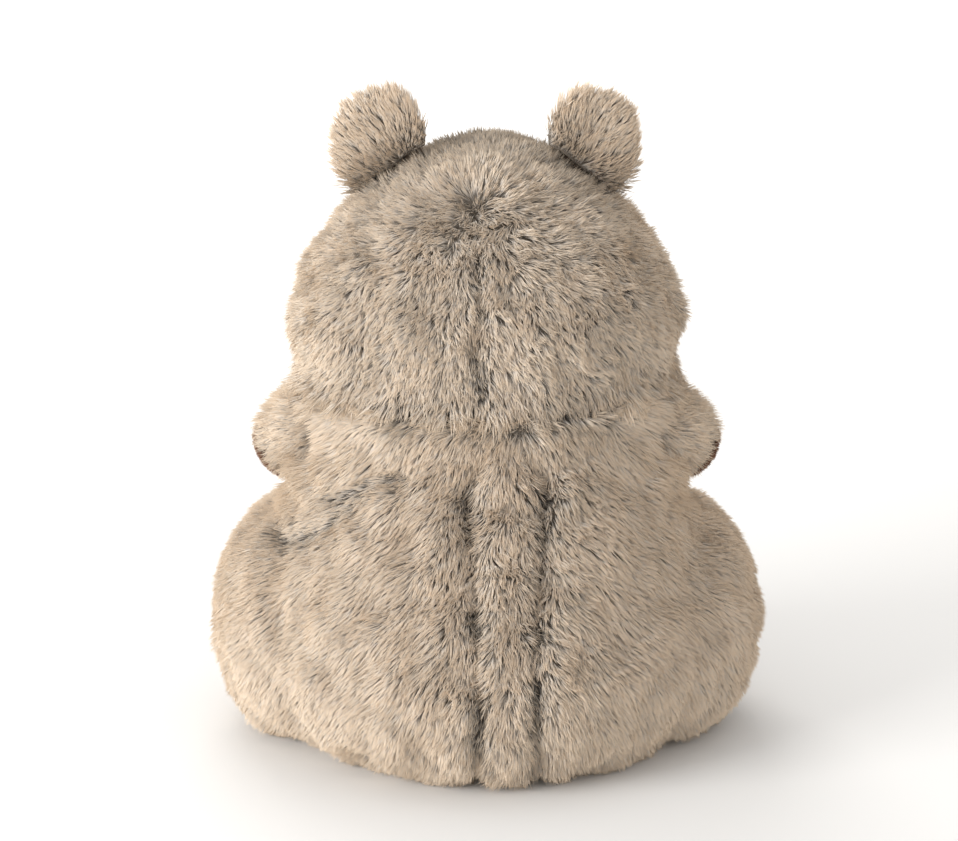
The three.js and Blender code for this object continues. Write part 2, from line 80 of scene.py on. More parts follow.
def add(tree, kind, inputs=None, **settings):
    """Adds a node with its settings, and gives each input a value or a link to a socket or a node."""
    node = tree.nodes.new(kind)
    for name, value in settings.items():
        setattr(node, name, value)
    for key, value in (inputs or {}).items():
        if isinstance(value, bpy.types.Node):
            value = next(socket for socket in value.outputs if socket.enabled)
        if isinstance(value, bpy.types.NodeSocket):
            tree.links.new(value, node.inputs[key])
        else:
            node.inputs[key].default_value = value
    return node


def new_material(name):
    """An empty node material, its tree and its shader."""
    material = bpy.data.materials.new(name)
    material.use_nodes = True
    return material, material.node_tree, material.node_tree.nodes["Principled BSDF"]


camera = bpy.data.objects.new("camera", bpy.data.cameras.new("camera"))
camera.location = VIEW_AIM + VIEW_DISTANCE * Vector((0, math.cos(VIEW_RISE), math.sin(VIEW_RISE)))
camera.rotation_euler = (VIEW_AIM - camera.location).to_track_quat("-Z", "Y").to_euler()
camera.data.sensor_width = SENSOR_WIDTH
camera.data.lens = SENSOR_WIDTH * VIEW_DISTANCE / (PICTURE_WIDTH * PIXEL_SIZE)
scene = bpy.context.scene
scene.collection.objects.link(camera)
scene.camera = camera
scene.view_settings.view_transform = "Standard"

for name, place, size, power in LAMPS:
    lamp = bpy.data.objects.new(name, bpy.data.lights.new(name, "AREA"))
    lamp.data.size = size
    lamp.data.energy = power
    lamp.location = place
    lamp.rotation_euler = (VIEW_AIM - lamp.location).to_track_quat("-Z", "Y").to_euler()
    scene.collection.objects.link(lamp)

scene.world = bpy.data.worlds.new("studio")
scene.world.use_nodes = True
studio = scene.world.node_tree.nodes["Background"]
studio.inputs["Color"].default_value = linear(WORLD_COLOUR)
studio.inputs["Strength"].default_value = WORLD_STRENGTH

# Matt backdrop paper: even and pale, with no gloss.
paper, _, paper_shader = new_material("matt_backdrop_paper")
paper_shader.inputs["Base Color"].default_value = linear(FLOOR_COLOUR)
paper_shader.inputs["Roughness"].default_value = MATT_ROUGHNESS
paper_shader.inputs["Specular IOR Level"].default_value = MATT_GLOSS
floor_mesh = bpy.data.meshes.new("floor")
floor_mesh.from_pydata(
    [(x * FLOOR_HALF, y * FLOOR_HALF, 0) for x, y in ((-1, -1), (1, -1), (1, 1), (-1, 1))],
    [],
    [(0, 1, 2, 3)],
)
floor_mesh.materials.append(paper)
floor = bpy.data.objects.new("floor", floor_mesh)
scene.collection.objects.link(floor)

# Stuffed body with its haunches
# Fur fabric panels sewn into a pear and stuffed with polyester fibre, over a bag of pellets.
# The seams stay where they were sewn, and the stuffing swells the fabric between them.
BODY_NODES = (
    "body_filling",
    "pellet_pouch",
    "base_panel",
    "body_back_left",
    "body_back_right",
    "centre_back_panel",
    "belly_panel",
    "left_haunch",
    "right_haunch",
)
STRIP_EDGES = ("centre_back_panel", "body_back_left", "body_back_right")
BODY_VOXEL = 4.5 * MM
MERGE_DISTANCE = 0.01 * MM
START_SMALLER = 2.5 * MM
SWELL_LIMIT = 5 * MM
SEAM_PIN = 4 * MM
SWELL_PRESSURE = 4
SWELL_STEPS = 20
RELAX_IN = 0.5
RELAX_OUT = -0.52
TINY = 1e-9
BODY_SMOOTHING = 14
BODY_FILLING = 60
BACKING_COLOURS = ("#6a6259", "#8c8276")
KNIT_WIDTH = 1.2 * MM


def mesh_object(name, mesh):
    """A new object at the origin that shows a mesh."""
    piece = bpy.data.objects.new(name, mesh)
    scene.collection.objects.link(piece)
    return piece


def apply_modifiers(piece):
    """Turns a piece and its modifiers into a plain mesh."""
    graph = bpy.context.evaluated_depsgraph_get()
    made = bpy.data.meshes.new_from_object(piece.evaluated_get(graph))
    piece.modifiers.clear()
    old = piece.data
    piece.data = made
    bpy.data.meshes.remove(old)
    made.name = piece.name


def mesh_array(items, name, width):
    """A property of all of a mesh's items, as an array of rows."""
    values = np.empty(len(items) * width, np.float32)
    items.foreach_get(name, values)
    return values.reshape(-1, width).astype(float)


def points_and_normals(mesh):
    """A mesh's points and the way that each of them faces."""
    return mesh_array(mesh.vertices, "co", 3), mesh_array(mesh.vertices, "normal", 3)


def set_points(mesh, points):
    """Moves a mesh's points."""
    mesh.vertices.foreach_set("co", points.astype(np.float32).ravel())
    mesh.update()


def relaxed(mesh, points, passes, back=RELAX_OUT):
    """Points drawn towards their neighbours and some way back, which rounds edges without shrinking."""
    ends = np.empty(len(mesh.edges) * 2, np.int32)
    mesh.edges.foreach_get("vertices", ends)
    ends = ends.reshape(-1, 2)
    count = np.bincount(ends.ravel(), minlength=len(points))[:, None]
    for turn in range(passes * 2):
        total = np.zeros_like(points)
        for axis in range(3):
            total[:, axis] = np.bincount(ends[:, 0], points[ends[:, 1], axis], len(points))
            total[:, axis] += np.bincount(ends[:, 1], points[ends[:, 0], axis], len(points))
        points = points + (RELAX_IN, back)[turn % 2] * (total / count - points)
    return points


def fill_hollows(mesh, passes):
    """Moves points outwards wherever a smoother skin would lie outside the skin, and never inwards."""
    points, normals = points_and_normals(mesh)
    out = ((relaxed(mesh, points, passes, 0) - points) * normals).sum(1, keepdims=True)
    set_points(mesh, points + normals * np.maximum(out, 0))


def remeshed(name, nodes, voxel, smoothing):
    """One smooth closed skin round copies of CAD nodes."""
    joined = bmesh.new()
    for node in nodes:
        joined.from_mesh(frame["nodes"][node].data)
    bmesh.ops.remove_doubles(joined, verts=joined.verts, dist=MERGE_DISTANCE)
    mesh = bpy.data.meshes.new(name)
    joined.to_mesh(mesh)
    joined.free()
    piece = mesh_object(name, mesh)
    remesh = piece.modifiers.new("remesh", "REMESH")
    remesh.mode = "VOXEL"
    remesh.voxel_size = voxel
    apply_modifiers(piece)
    keep_outer_skin(piece.data)
    set_points(piece.data, relaxed(piece.data, mesh_array(piece.data.vertices, "co", 3), smoothing))
    return piece


def keep_outer_skin(mesh):
    """Deletes skins of pockets inside, so that only the skin round everything is left."""
    skin = bmesh.new()
    skin.from_mesh(mesh)
    reached = {max(skin.verts, key=lambda vertex: vertex.co.x)}
    edge_of_search = list(reached)
    while edge_of_search:
        found = edge_of_search.pop()
        for edge in found.link_edges:
            other = edge.other_vert(found)
            if other not in reached:
                reached.add(other)
                edge_of_search.append(other)
    inner = [vertex for vertex in skin.verts if vertex not in reached]
    bmesh.ops.delete(skin, geom=inner, context="VERTS")
    skin.to_mesh(mesh)
    skin.free()


def swell(piece, pinned):
    """Blows a skin up by cloth simulation, held at its seams, and then makes it finer."""
    mesh = piece.data
    rest, normals = points_and_normals(mesh)
    start = rest - normals * START_SMALLER
    set_points(mesh, start)
    seams = piece.vertex_groups.new(name="seams")
    seams.add([int(index) for index in np.flatnonzero(pinned)], 1, "REPLACE")
    cloth = piece.modifiers.new("stuffing", "CLOTH")
    cloth.settings.use_pressure = True
    cloth.settings.uniform_pressure_force = SWELL_PRESSURE
    cloth.settings.effector_weights.gravity = 0
    cloth.settings.vertex_group_mass = seams.name
    cloth.collision_settings.use_collision = False
    for step in range(1, SWELL_STEPS + 1):
        scene.frame_set(step)
    graph = bpy.context.evaluated_depsgraph_get()
    blown = mesh_array(piece.evaluated_get(graph).data.vertices, "co", 3)
    piece.modifiers.clear()
    piece.vertex_groups.clear()
    scene.frame_set(1)
    move = blown - start
    length = np.linalg.norm(move, axis=1, keepdims=True)
    set_points(mesh, start + move * np.minimum(1, SWELL_LIMIT / np.maximum(length, TINY)))
    finer = piece.modifiers.new("finer", "SUBSURF")
    finer.levels = 1
    finer.render_levels = 1
    apply_modifiers(piece)
    piece.data.shade_smooth()


node_trees = {}


def skin_tree(mesh):
    """A mesh's faces, to be searched for the nearest one."""
    corners = [polygon.vertices[:] for polygon in mesh.polygons]
    return BVHTree.FromPolygons([vertex.co[:] for vertex in mesh.vertices], corners)


def distances(nodes, points):
    """How far each point is from each CAD node."""
    far = np.empty((len(points), len(nodes)))
    for column, node in enumerate(nodes):
        if node not in node_trees:
            node_trees[node] = skin_tree(frame["nodes"][node].data)
        for row, point in enumerate(points):
            far[row, column] = node_trees[node].find_nearest(point)[3]
    return far


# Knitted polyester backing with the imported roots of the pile: dull and grey-brown, seen only in
# partings, with the loops of the knit as a fine mottle that is drawn coarse enough to show.
backing, backing_tree, backing_shader = new_material("knitted_fur_backing")
backing_place = add(backing_tree, "ShaderNodeTexCoord")
knit = add(
    backing_tree,
    "ShaderNodeTexNoise",
    {"Vector": backing_place.outputs["Object"], "Scale": 1 / KNIT_WIDTH, "Detail": 2},
)
loops = add(backing_tree, "ShaderNodeValToRGB", {"Fac": knit.outputs["Fac"]})
for element, colour in zip(loops.color_ramp.elements, BACKING_COLOURS):
    element.color = linear(colour)
backing_tree.links.new(loops.outputs["Color"], backing_shader.inputs["Base Color"])
backing_shader.inputs["Roughness"].default_value = MATT_ROUGHNESS
backing_shader.inputs["Specular IOR Level"].default_value = MATT_GLOSS

body = remeshed("stuffed_body", BODY_NODES, BODY_VOXEL, BODY_SMOOTHING)
fill_hollows(body.data, BODY_FILLING)
points = mesh_array(body.data.vertices, "co", 3)
strip_far = distances(STRIP_EDGES, points)
on_seam = np.abs(strip_far[:, 0] - strip_far[:, 1:].min(1)) < SEAM_PIN
swell(body, on_seam & (strip_far.min(1) < SEAM_PIN) | (points[:, 2] < SEAM_PIN))
body.data.materials.append(backing)

# Seams and creases of the body
# Two seams run down the back, one on each side of the middle strip, and draw the fabric in.
# The loose fabric falls in two slanting creases under the left arm, and in a soft fold under the right.
PANELS = (
    "base_panel",
    "body_back_left",
    "body_back_right",
    "centre_back_panel",
    "belly_panel",
    "left_haunch",
    "right_haunch",
)
STRIP_X = -9 * MM
STRIP_INNER = 5 * MM
STRIP_OUTER = 9 * MM
SEAM_DEPTH = 3 * MM
SEAM_WIDTH = 4 * MM
CREASE_DEPTH = 4 * MM
CREASE_WIDTH = 4 * MM
CREASE_EVENNESS = 0.75
FOLD_SHARE = 0.6
BACK_RANGE = (-20 * MM, 25 * MM)
LEFT_CREASES = (
    ((34, 138), (50, 130), (66, 121)),
    ((56, 122), (76, 103), (88, 95)),
)
RIGHT_FOLD = ((-92, 122), (-96, 100), (-97, 82))
NECK_LEVEL = 164 * MM
NECK_HALF = np.array((80, 66)) * MM
NECK_REACH = 17 * MM
NECK_CLOSING = 2.5 * MM
LUMP_SIZE = 15 * MM
LUMP_HEIGHT = 3.2 * MM


def unit(vectors):
    """Vectors of length 1."""
    return vectors / np.maximum(np.linalg.norm(vectors, axis=1, keepdims=True), TINY)


def bell(distance, width):
    """1 on a line, falling smoothly to nothing beside it."""
    return np.exp(-(distance / width) ** 2)


def ramp(values, low, high):
    """0 below a range, 1 above it and smooth between."""
    share = np.clip((values - low) / (high - low), 0, 1)
    return share * share * (3 - 2 * share)


def patches(points, size):
    """Soft random patches of a given size over points, from about -0.5 to 0.5."""
    return np.array([noise.noise(Vector(point) / size) for point in points])


def line_offset(points, line):
    """The way to each point, seen from behind, from a bent line through places in millimetres."""
    flat = points[:, [0, 2]]
    line = np.array(line) * MM
    least = np.full_like(flat, 1.0)
    for start, end in zip(line[:-1], line[1:]):
        along = end - start
        share = np.clip((flat - start) @ along / (along @ along), 0, 1)
        offset = flat - start - share[:, None] * along
        closer = np.linalg.norm(offset, axis=1) < np.linalg.norm(least, axis=1)
        least[closer] = offset[closer]
    return least


def neck_filled(points, normals):
    """Points of the side walls pushed out to an oval at the neck, as the stuffing of both fills it."""
    level = (points - joint_place("head")) * [1, 1, 0]
    out = unit(level)
    oval = 1 / np.maximum(np.linalg.norm(out[:, :2] / NECK_HALF, axis=1), TINY)
    short = np.maximum(oval - np.linalg.norm(level, axis=1), 0)
    share = bell(points[:, 2] - NECK_LEVEL, NECK_REACH) * ramp((normals * out).sum(1), 0.1, 0.6)
    filled = points + out * (short * share)[:, None]
    filled[:, 2] += np.clip(NECK_LEVEL - points[:, 2], -NECK_CLOSING, NECK_CLOSING) * share
    return filled


def joint_place(child):
    """Where a body's joint lies."""
    return next(np.array(joint["pos_m"]) for joint in frame["joints"] if joint["child"] == child)


points, normals = points_and_normals(body.data)
panel_far = distances(PANELS, points)
panel = panel_far.argmin(1)
at_back = ramp(points[:, 1], *BACK_RANGE)
strip_seam = bell(panel_far[:, 3] - panel_far[:, 1:3].min(1), SEAM_WIDTH)
strip_seam[panel_far[:, 1:4].min(1) > 2 * SEAM_WIDTH] = 0
strip_seam *= ramp(np.abs(points[:, 0] - STRIP_X), STRIP_INNER, STRIP_OUTER)
crease_ways = [line_offset(points, line) for line in LEFT_CREASES]
crease_bells = [bell(np.linalg.norm(way, axis=1), CREASE_WIDTH) * at_back for way in crease_ways]
crease = np.max(crease_bells, axis=0) * np.clip(CREASE_EVENNESS + patches(points, LUMP_SIZE), 0, 1)
fold = bell(np.linalg.norm(line_offset(points, RIGHT_FOLD), axis=1), 2 * CREASE_WIDTH) * at_back
lumps = LUMP_HEIGHT * patches(points, LUMP_SIZE) * at_back
sunk = SEAM_DEPTH * strip_seam + CREASE_DEPTH * np.maximum(crease, FOLD_SHARE * fold) - lumps
points = neck_filled(points - normals * sunk[:, None], normals)
points[:, 2] = np.maximum(points[:, 2], 0)
set_points(body.data, points)
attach(body, "torso")
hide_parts("body_filling", "base_panel")

# Pile of the body
# Long acrylic pile in a knitted backing: pale grey in the shaft, tan at the tip and darker in places.
# It lies downwards and outwards from the middle strip, in tufts, and parts along the seams.
PILE_PER_PIECE = 45000
BACK_DENSITY = 2.8e6
FRONT_DENSITY = 1.4e6
FRONT_THINNER = 0.6
STRAND_RADIUS = 0.25 * MM
STRAND_ARCH = 0.07
STRAND_ROUNDNESS = 0.25
CLUMP_SPACING = 2.7 * MM
CLUMP_PULL = 0.5
CLUMP_SPREAD = 0.7
CLUMP_LIGHT = 0.3
FRIZZ = 0.16
SHORTEST = 0.7
LONGEST = 1.1
TUFT_VARIETY = 0.2
PILE_FLOOR = 0.4 * MM
PILE_LEAN = math.radians(48)
LEAN_SPREAD = math.radians(20)
MIDDLE_WIDTH = 45 * MM
SPREAD_WIDTH = 60 * MM
BACK_PILE = 11 * MM
SMOOTH_PILE = 9 * MM
BELLY_PILE = 8 * MM
BODY_TONE = 0.86
BODY_MOTTLE = 0.12
SHADE_SPREAD = 0.1
SHADE_LEAST = 0.03
SHADE_MOST = 0.97
FLECK_DARKNESS = 0.55
PATCH_SIZE = 14 * MM
FINE_RUMPLE = 7 * MM
RUMPLES = ((18 * MM, 0.7), (FINE_RUMPLE, 0.5))
RUMPLE_SEED = 7
LEAST_ALONG = 0.35
MAP_HALF_WIDTH = 0.012
FUR_ROUGHNESS = 0.8
FUR_GLOSS = 0.15
FUR_SHEEN = 0.1
SEED_STEP = 100
PART_SEED_STEP = 10
LEFT_PARTINGS = ((112, 134), (70, 88), (26, 52))
RIGHT_PARTINGS = ((111, 133), (97, 104), (70, 82), (34, 60))
PARTING_END = 4
NECK_DARTS = ((33, 9), (-33, 17))
DART_HEIGHT = 8 * MM
NECK_TURN = 9 * MM
NECK_UPRIGHT = 0.5
NECK_COMB = 1.5
NECK_SIDES = (55 * MM, 75 * MM)
CAP_FACING = 0.97
ARM_REACH = 13 * MM
ARM_COVER = 9 * MM
ARM_COMB = 1.5
CREASE_COMB = 0.9
HOLLOW_SHADE_WIDTH = 14 * MM
LEFT_HOLLOW_SHADE = ((77, 118), (77, 136))


def pile_tree():
    """Geometry Nodes that grow tufted pile on a skin, from the lay, lift and length kept on its points."""
    tree = bpy.data.node_groups.new("fur_pile", "GeometryNodeTree")
    tree.interface.new_socket("Skin", in_out="INPUT", socket_type="NodeSocketGeometry")
    for name in ("Density", "Clump spacing", "Clump pull", "Clump spread", "Radius"):
        tree.interface.new_socket(name, in_out="INPUT", socket_type="NodeSocketFloat")
    tree.interface.new_socket("Seed", in_out="INPUT", socket_type="NodeSocketInt")
    tree.interface.new_socket("Fur", in_out="INPUT", socket_type="NodeSocketMaterial")
    tree.interface.new_socket("Pile", in_out="OUTPUT", socket_type="NodeSocketGeometry")
    given = add(tree, "NodeGroupInput").outputs
    seeds = [add(tree, "ShaderNodeMath", {0: given["Seed"], 1: n}, operation="ADD") for n in range(5)]
    kept = {
        name: add(tree, "GeometryNodeInputNamedAttribute", {"Name": name}, data_type="FLOAT")
        for name in ("pile", "thick", "tone", "fleck", "loose", "shade")
    }
    for name in ("lay", "lift", "root", "tip", "arch", "side", "facing"):
        kept[name] = add(tree, "GeometryNodeInputNamedAttribute", {"Name": name}, data_type="FLOAT_VECTOR")

    # Roots all over the skin, and the tufts that they gather in
    dense = add(tree, "ShaderNodeMath", {0: given["Density"], 1: kept["thick"]}, operation="MULTIPLY")
    strands = add(
        tree,
        "GeometryNodeDistributePointsOnFaces",
        {"Mesh": given["Skin"], "Density": dense, "Seed": seeds[0]},
        distribute_method="RANDOM",
    )
    spacing = given["Clump spacing"]
    room = add(tree, "ShaderNodeMath", {0: spacing, 1: spacing}, operation="MULTIPLY")
    most = add(tree, "ShaderNodeMath", {0: 3, 1: room}, operation="DIVIDE")
    tufts = add(
        tree,
        "GeometryNodeDistributePointsOnFaces",
        {"Mesh": given["Skin"], "Distance Min": spacing, "Density Max": most, "Seed": seeds[1]},
        distribute_method="POISSON",
    )
    place = add(tree, "GeometryNodeInputPosition")
    tuft = add(tree, "GeometryNodeProximity", {0: tufts, "Sample Position": place}, target_element="POINTS")
    chance = add(tree, "ShaderNodeTexWhiteNoise", {"Vector": tuft}, noise_dimensions="3D")

    # Each strand's direction: the lay, turned with its tuft and a little by itself
    half = (0.5, 0.5, 0.5)
    turn = add(tree, "ShaderNodeVectorMath", {0: chance.outputs["Color"], 1: half}, operation="SUBTRACT")
    spread = add(tree, "ShaderNodeMath", {0: given["Clump spread"], 1: kept["loose"]}, operation="MULTIPLY")
    turn = add(tree, "ShaderNodeVectorMath", {0: turn, "Scale": spread}, operation="SCALE")
    stray = add(
        tree,
        "FunctionNodeRandomValue",
        {0: (-FRIZZ, -FRIZZ, -FRIZZ), 1: (FRIZZ, FRIZZ, FRIZZ), "Seed": seeds[2]},
        data_type="FLOAT_VECTOR",
    )
    stray = add(tree, "ShaderNodeVectorMath", {0: stray, "Scale": kept["loose"]}, operation="SCALE")
    facing = add(tree, "ShaderNodeVectorMath", {0: turn, "Scale": CLUMP_LIGHT}, operation="SCALE")
    facing = add(tree, "ShaderNodeVectorMath", {0: kept["lift"], 1: facing}, operation="ADD")
    way = add(tree, "ShaderNodeVectorMath", {0: kept["lay"], 1: turn}, operation="ADD")
    way = add(tree, "ShaderNodeVectorMath", {0: way, 1: stray}, operation="ADD")
    way = add(tree, "ShaderNodeVectorMath", {0: way}, operation="NORMALIZE")

    # Its length, its tip drawn towards the tuft's, its slight arch and its flat side
    own = add(
        tree,
        "FunctionNodeRandomValue",
        {2: SHORTEST, 3: LONGEST, "Seed": seeds[3]},
        data_type="FLOAT",
    )
    tuft_share = {0: chance, 1: TUFT_VARIETY, 2: 1 - TUFT_VARIETY}
    common = add(tree, "ShaderNodeMath", tuft_share, operation="MULTIPLY_ADD")
    length = add(tree, "ShaderNodeMath", {0: kept["pile"], 1: own}, operation="MULTIPLY")
    length = add(tree, "ShaderNodeMath", {0: length, 1: common}, operation="MULTIPLY")
    reach = add(tree, "ShaderNodeVectorMath", {0: way, "Scale": length}, operation="SCALE")
    to_tuft = add(tree, "ShaderNodeVectorMath", {0: tuft, 1: place}, operation="SUBTRACT")
    pull = add(tree, "ShaderNodeMath", {0: given["Clump pull"], 1: kept["loose"]}, operation="MULTIPLY")
    pulled = add(tree, "ShaderNodeVectorMath", {0: to_tuft, "Scale": pull}, operation="SCALE")
    tip = add(tree, "ShaderNodeVectorMath", {0: reach, 1: pulled}, operation="ADD")
    rise = add(tree, "ShaderNodeMath", {0: length, 1: STRAND_ARCH}, operation="MULTIPLY")
    arch = add(tree, "ShaderNodeVectorMath", {0: kept["lift"], "Scale": rise}, operation="SCALE")
    side = add(tree, "ShaderNodeVectorMath", {0: kept["lift"], 1: way}, operation="CROSS_PRODUCT")
    side = add(tree, "ShaderNodeVectorMath", {0: side}, operation="NORMALIZE")

    # Its shade: the skin's tone, its own chance, and a dark tuft here and there
    own_shade = add(
        tree,
        "FunctionNodeRandomValue",
        {2: -SHADE_SPREAD, 3: SHADE_SPREAD, "Seed": seeds[4]},
        data_type="FLOAT",
    )
    varied = {0: own_shade, 1: kept["loose"], 2: kept["tone"]}
    shade = add(tree, "ShaderNodeMath", varied, operation="MULTIPLY_ADD")
    flecked = add(tree, "ShaderNodeMath", {0: chance, 1: kept["fleck"]}, operation="LESS_THAN")
    flecked = {0: flecked, 1: -FLECK_DARKNESS, 2: shade}
    shade = add(tree, "ShaderNodeMath", flecked, operation="MULTIPLY_ADD")
    shade = add(tree, "ShaderNodeClamp", {"Value": shade, "Min": SHADE_LEAST, "Max": SHADE_MOST})
    fields = {"root": place, "tip": tip, "arch": arch, "side": side, "facing": facing, "shade": shade}
    for name, field in fields.items():
        strands = add(
            tree,
            "GeometryNodeStoreNamedAttribute",
            {"Geometry": strands, "Name": name, "Value": field},
            data_type="FLOAT" if name == "shade" else "FLOAT_VECTOR",
            domain="POINT",
        )

    # A blade of four triangles, from the root over a wide middle to the tip, on every root
    blade = add(
        tree,
        "GeometryNodeMeshCone",
        {"Vertices": 3, "Radius Top": 0.0, "Radius Bottom": 1.0, "Depth": 1.0},
        fill_type="NGON",
    )
    strands = add(tree, "GeometryNodeInstanceOnPoints", {"Points": strands, "Instance": blade})
    strands = add(tree, "GeometryNodeRealizeInstances", {"Geometry": strands})
    corner = add(tree, "ShaderNodeVectorMath", {0: place, 1: kept["root"]}, operation="SUBTRACT")
    corner = add(tree, "ShaderNodeSeparateXYZ", {0: corner}).outputs
    below = add(tree, "ShaderNodeMath", {0: corner["X"], 1: -1 / 3, 2: 1 / 3}, operation="MULTIPLY_ADD")
    along = add(tree, "ShaderNodeMath", {0: below, 1: corner["Z"]}, operation="MAXIMUM")
    across = {0: corner["Y"], 1: MAP_HALF_WIDTH, 2: kept["shade"]}
    across = add(tree, "ShaderNodeMath", across, operation="MULTIPLY_ADD")
    chart = add(tree, "ShaderNodeCombineXYZ", {"X": across, "Y": along})
    strands = add(
        tree,
        "GeometryNodeStoreNamedAttribute",
        {"Geometry": strands, "Name": "OFBake", "Value": chart},
        data_type="FLOAT2",
        domain="CORNER",
    )
    # Light falls on it as on the whole coat, and a little as on a round fibre
    rounded = add(tree, "ShaderNodeMath", {0: corner["Y"], 1: STRAND_ROUNDNESS}, operation="MULTIPLY")
    facing = add(tree, "ShaderNodeVectorMath", {0: kept["side"], "Scale": rounded}, operation="SCALE")
    facing = add(tree, "ShaderNodeVectorMath", {0: kept["facing"], 1: facing}, operation="ADD")
    facing = add(tree, "ShaderNodeVectorMath", {0: facing}, operation="NORMALIZE")
    strands = add(
        tree,
        "GeometryNodeSetMeshNormal",
        {"Mesh": strands, "Custom Normal": facing},
        mode="FREE",
        domain="POINT",
    )

    # The blade is stretched from its root to its tip, and kept above the floor
    beside = add(tree, "ShaderNodeMath", {0: corner["Y"], 1: given["Radius"]}, operation="MULTIPLY")
    middle = add(tree, "ShaderNodeMath", {0: corner["Y"]}, operation="ABSOLUTE")
    spot = kept["root"]
    for name, share in (("tip", along), ("arch", middle), ("side", beside)):
        step = add(tree, "ShaderNodeVectorMath", {0: kept[name], "Scale": share}, operation="SCALE")
        spot = add(tree, "ShaderNodeVectorMath", {0: spot, 1: step}, operation="ADD")
    parts = add(tree, "ShaderNodeSeparateXYZ", {0: spot}).outputs
    above = add(tree, "ShaderNodeMath", {0: parts["Z"], 1: PILE_FLOOR}, operation="MAXIMUM")
    spot = add(tree, "ShaderNodeCombineXYZ", {0: parts["X"], 1: parts["Y"], 2: above})
    strands = add(tree, "GeometryNodeSetPosition", {"Geometry": strands, "Position": spot})
    strands = add(tree, "GeometryNodeSetMaterial", {"Geometry": strands, "Material": given["Fur"]})
    add(tree, "NodeGroupOutput", {"Pile": strands})
    return tree


fur_tree = pile_tree()
fur_sockets = {item.name: item.identifier for item in fur_tree.interface.items_tree}


def grow_pile(name, form, chosen, groom, look, body_name, slot, density, replaced, seed, **changes):
    """Grows the pile of one panel on the chosen faces of a form, in as many pieces as it needs."""
    mesh = form.data
    corners = face_corners(mesh)[chosen]
    area = mesh_array(mesh.polygons, "area", 1)[chosen, 0]
    places = mesh_array(mesh.vertices, "co", 3)
    order = np.argsort(places[corners].mean(1)[:, 2], kind="stable")
    count = np.cumsum((area * density * groom["thick"][corners].mean(1))[order])
    parts = math.ceil(count[-1] / PILE_PER_PIECE)
    part = np.empty(len(corners), int)
    part[order] = np.minimum(count / count[-1] * parts, parts - 1).astype(int)
    inputs = {
        "Density": density,
        "Clump spacing": CLUMP_SPACING,
        "Clump pull": CLUMP_PULL,
        "Clump spread": CLUMP_SPREAD,
        "Radius": STRAND_RADIUS * math.sqrt(BACK_DENSITY / density),
        "Fur": look,
        **changes,
    }
    for index in range(parts):
        used, faces = np.unique(corners[part == index], return_inverse=True)
        skin = bpy.data.meshes.new(name)
        skin.from_pydata(places[used].tolist(), [], faces.reshape(-1, 4).tolist())
        for key, values in groom.items():
            kind, field = ("FLOAT_VECTOR", "vector") if values.ndim == 2 else ("FLOAT", "value")
            kept = skin.attributes.new(key, kind, "POINT")
            kept.data.foreach_set(field, values[used].astype(np.float32).ravel())
        piece = mesh_object(f"{name}_{index + 1}", skin)
        growth = piece.modifiers.new("pile", "NODES")
        growth.node_group = fur_tree
        for key, value in inputs.items():
            growth[fur_sockets[key]] = value
        growth[fur_sockets["Seed"]] = seed + PART_SEED_STEP * index
        apply_modifiers(piece)
        for key in ("root", "tip", "arch", "side", "facing", "shade", *groom):
            if key in piece.data.attributes:
                piece.data.attributes.remove(piece.data.attributes[key])
        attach(piece, body_name)
        if replaced:
            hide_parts(*replaced)


def face_corners(mesh):
    """The four points of each face of a skin."""
    corners = np.empty(len(mesh.loops), np.int32)
    mesh.loops.foreach_get("vertex_index", corners)
    return corners.reshape(-1, 4)


def laid(flow, normals, lean):
    """Strand directions that lean from the surface the way the flow goes, and less where it points out."""
    flow = unit(flow)
    along = flow - normals * (flow * normals).sum(1, keepdims=True)
    along /= np.maximum(np.linalg.norm(along, axis=1, keepdims=True), LEAST_ALONG)
    lean = np.broadcast_to(lean, len(normals))[:, None]
    return unit(normals * np.cos(lean) + along * np.sin(lean))


def rumpled(flow, points, share):
    """A flow turned this way and that in broad and fine patches, as much handled fur lies."""
    swirl = np.zeros_like(points)
    for size, amount in RUMPLES:
        swirl += amount * np.array([noise.noise_vector(Vector(point) / size) for point in points])
    return unit(flow) + swirl * np.broadcast_to(share, len(points))[:, None]


def stretches(levels, ranges):
    """1 within ranges of height in millimetres, and 0 a little way beyond them."""
    inside = np.zeros(len(levels))
    for low, high in ranges:
        from_below = ramp(levels / MM, low - PARTING_END, low + PARTING_END)
        from_above = ramp(-levels / MM, -high - PARTING_END, PARTING_END - high)
        inside = np.maximum(inside, from_below * from_above)
    return inside


def neck_facing(points, normals):
    """Normals that face level outwards along the neck seam, so that the two coats run into each other."""
    out = unit((points - joint_place("head")) * [1, 1, 0])
    share = bell(points[:, 2] - NECK_LEVEL, NECK_TURN)[:, None]
    return unit(normals * (1 - share) + out * share)


def neck_darts(points):
    """1 in the two places at the back of the neck where the seam shows between head and body."""
    across = np.max([bell(points[:, 0] / MM - x, half) for x, half in NECK_DARTS], axis=0)
    return across * bell(points[:, 2] - NECK_LEVEL, DART_HEIGHT) * ramp(points[:, 1], 0, 30 * MM)


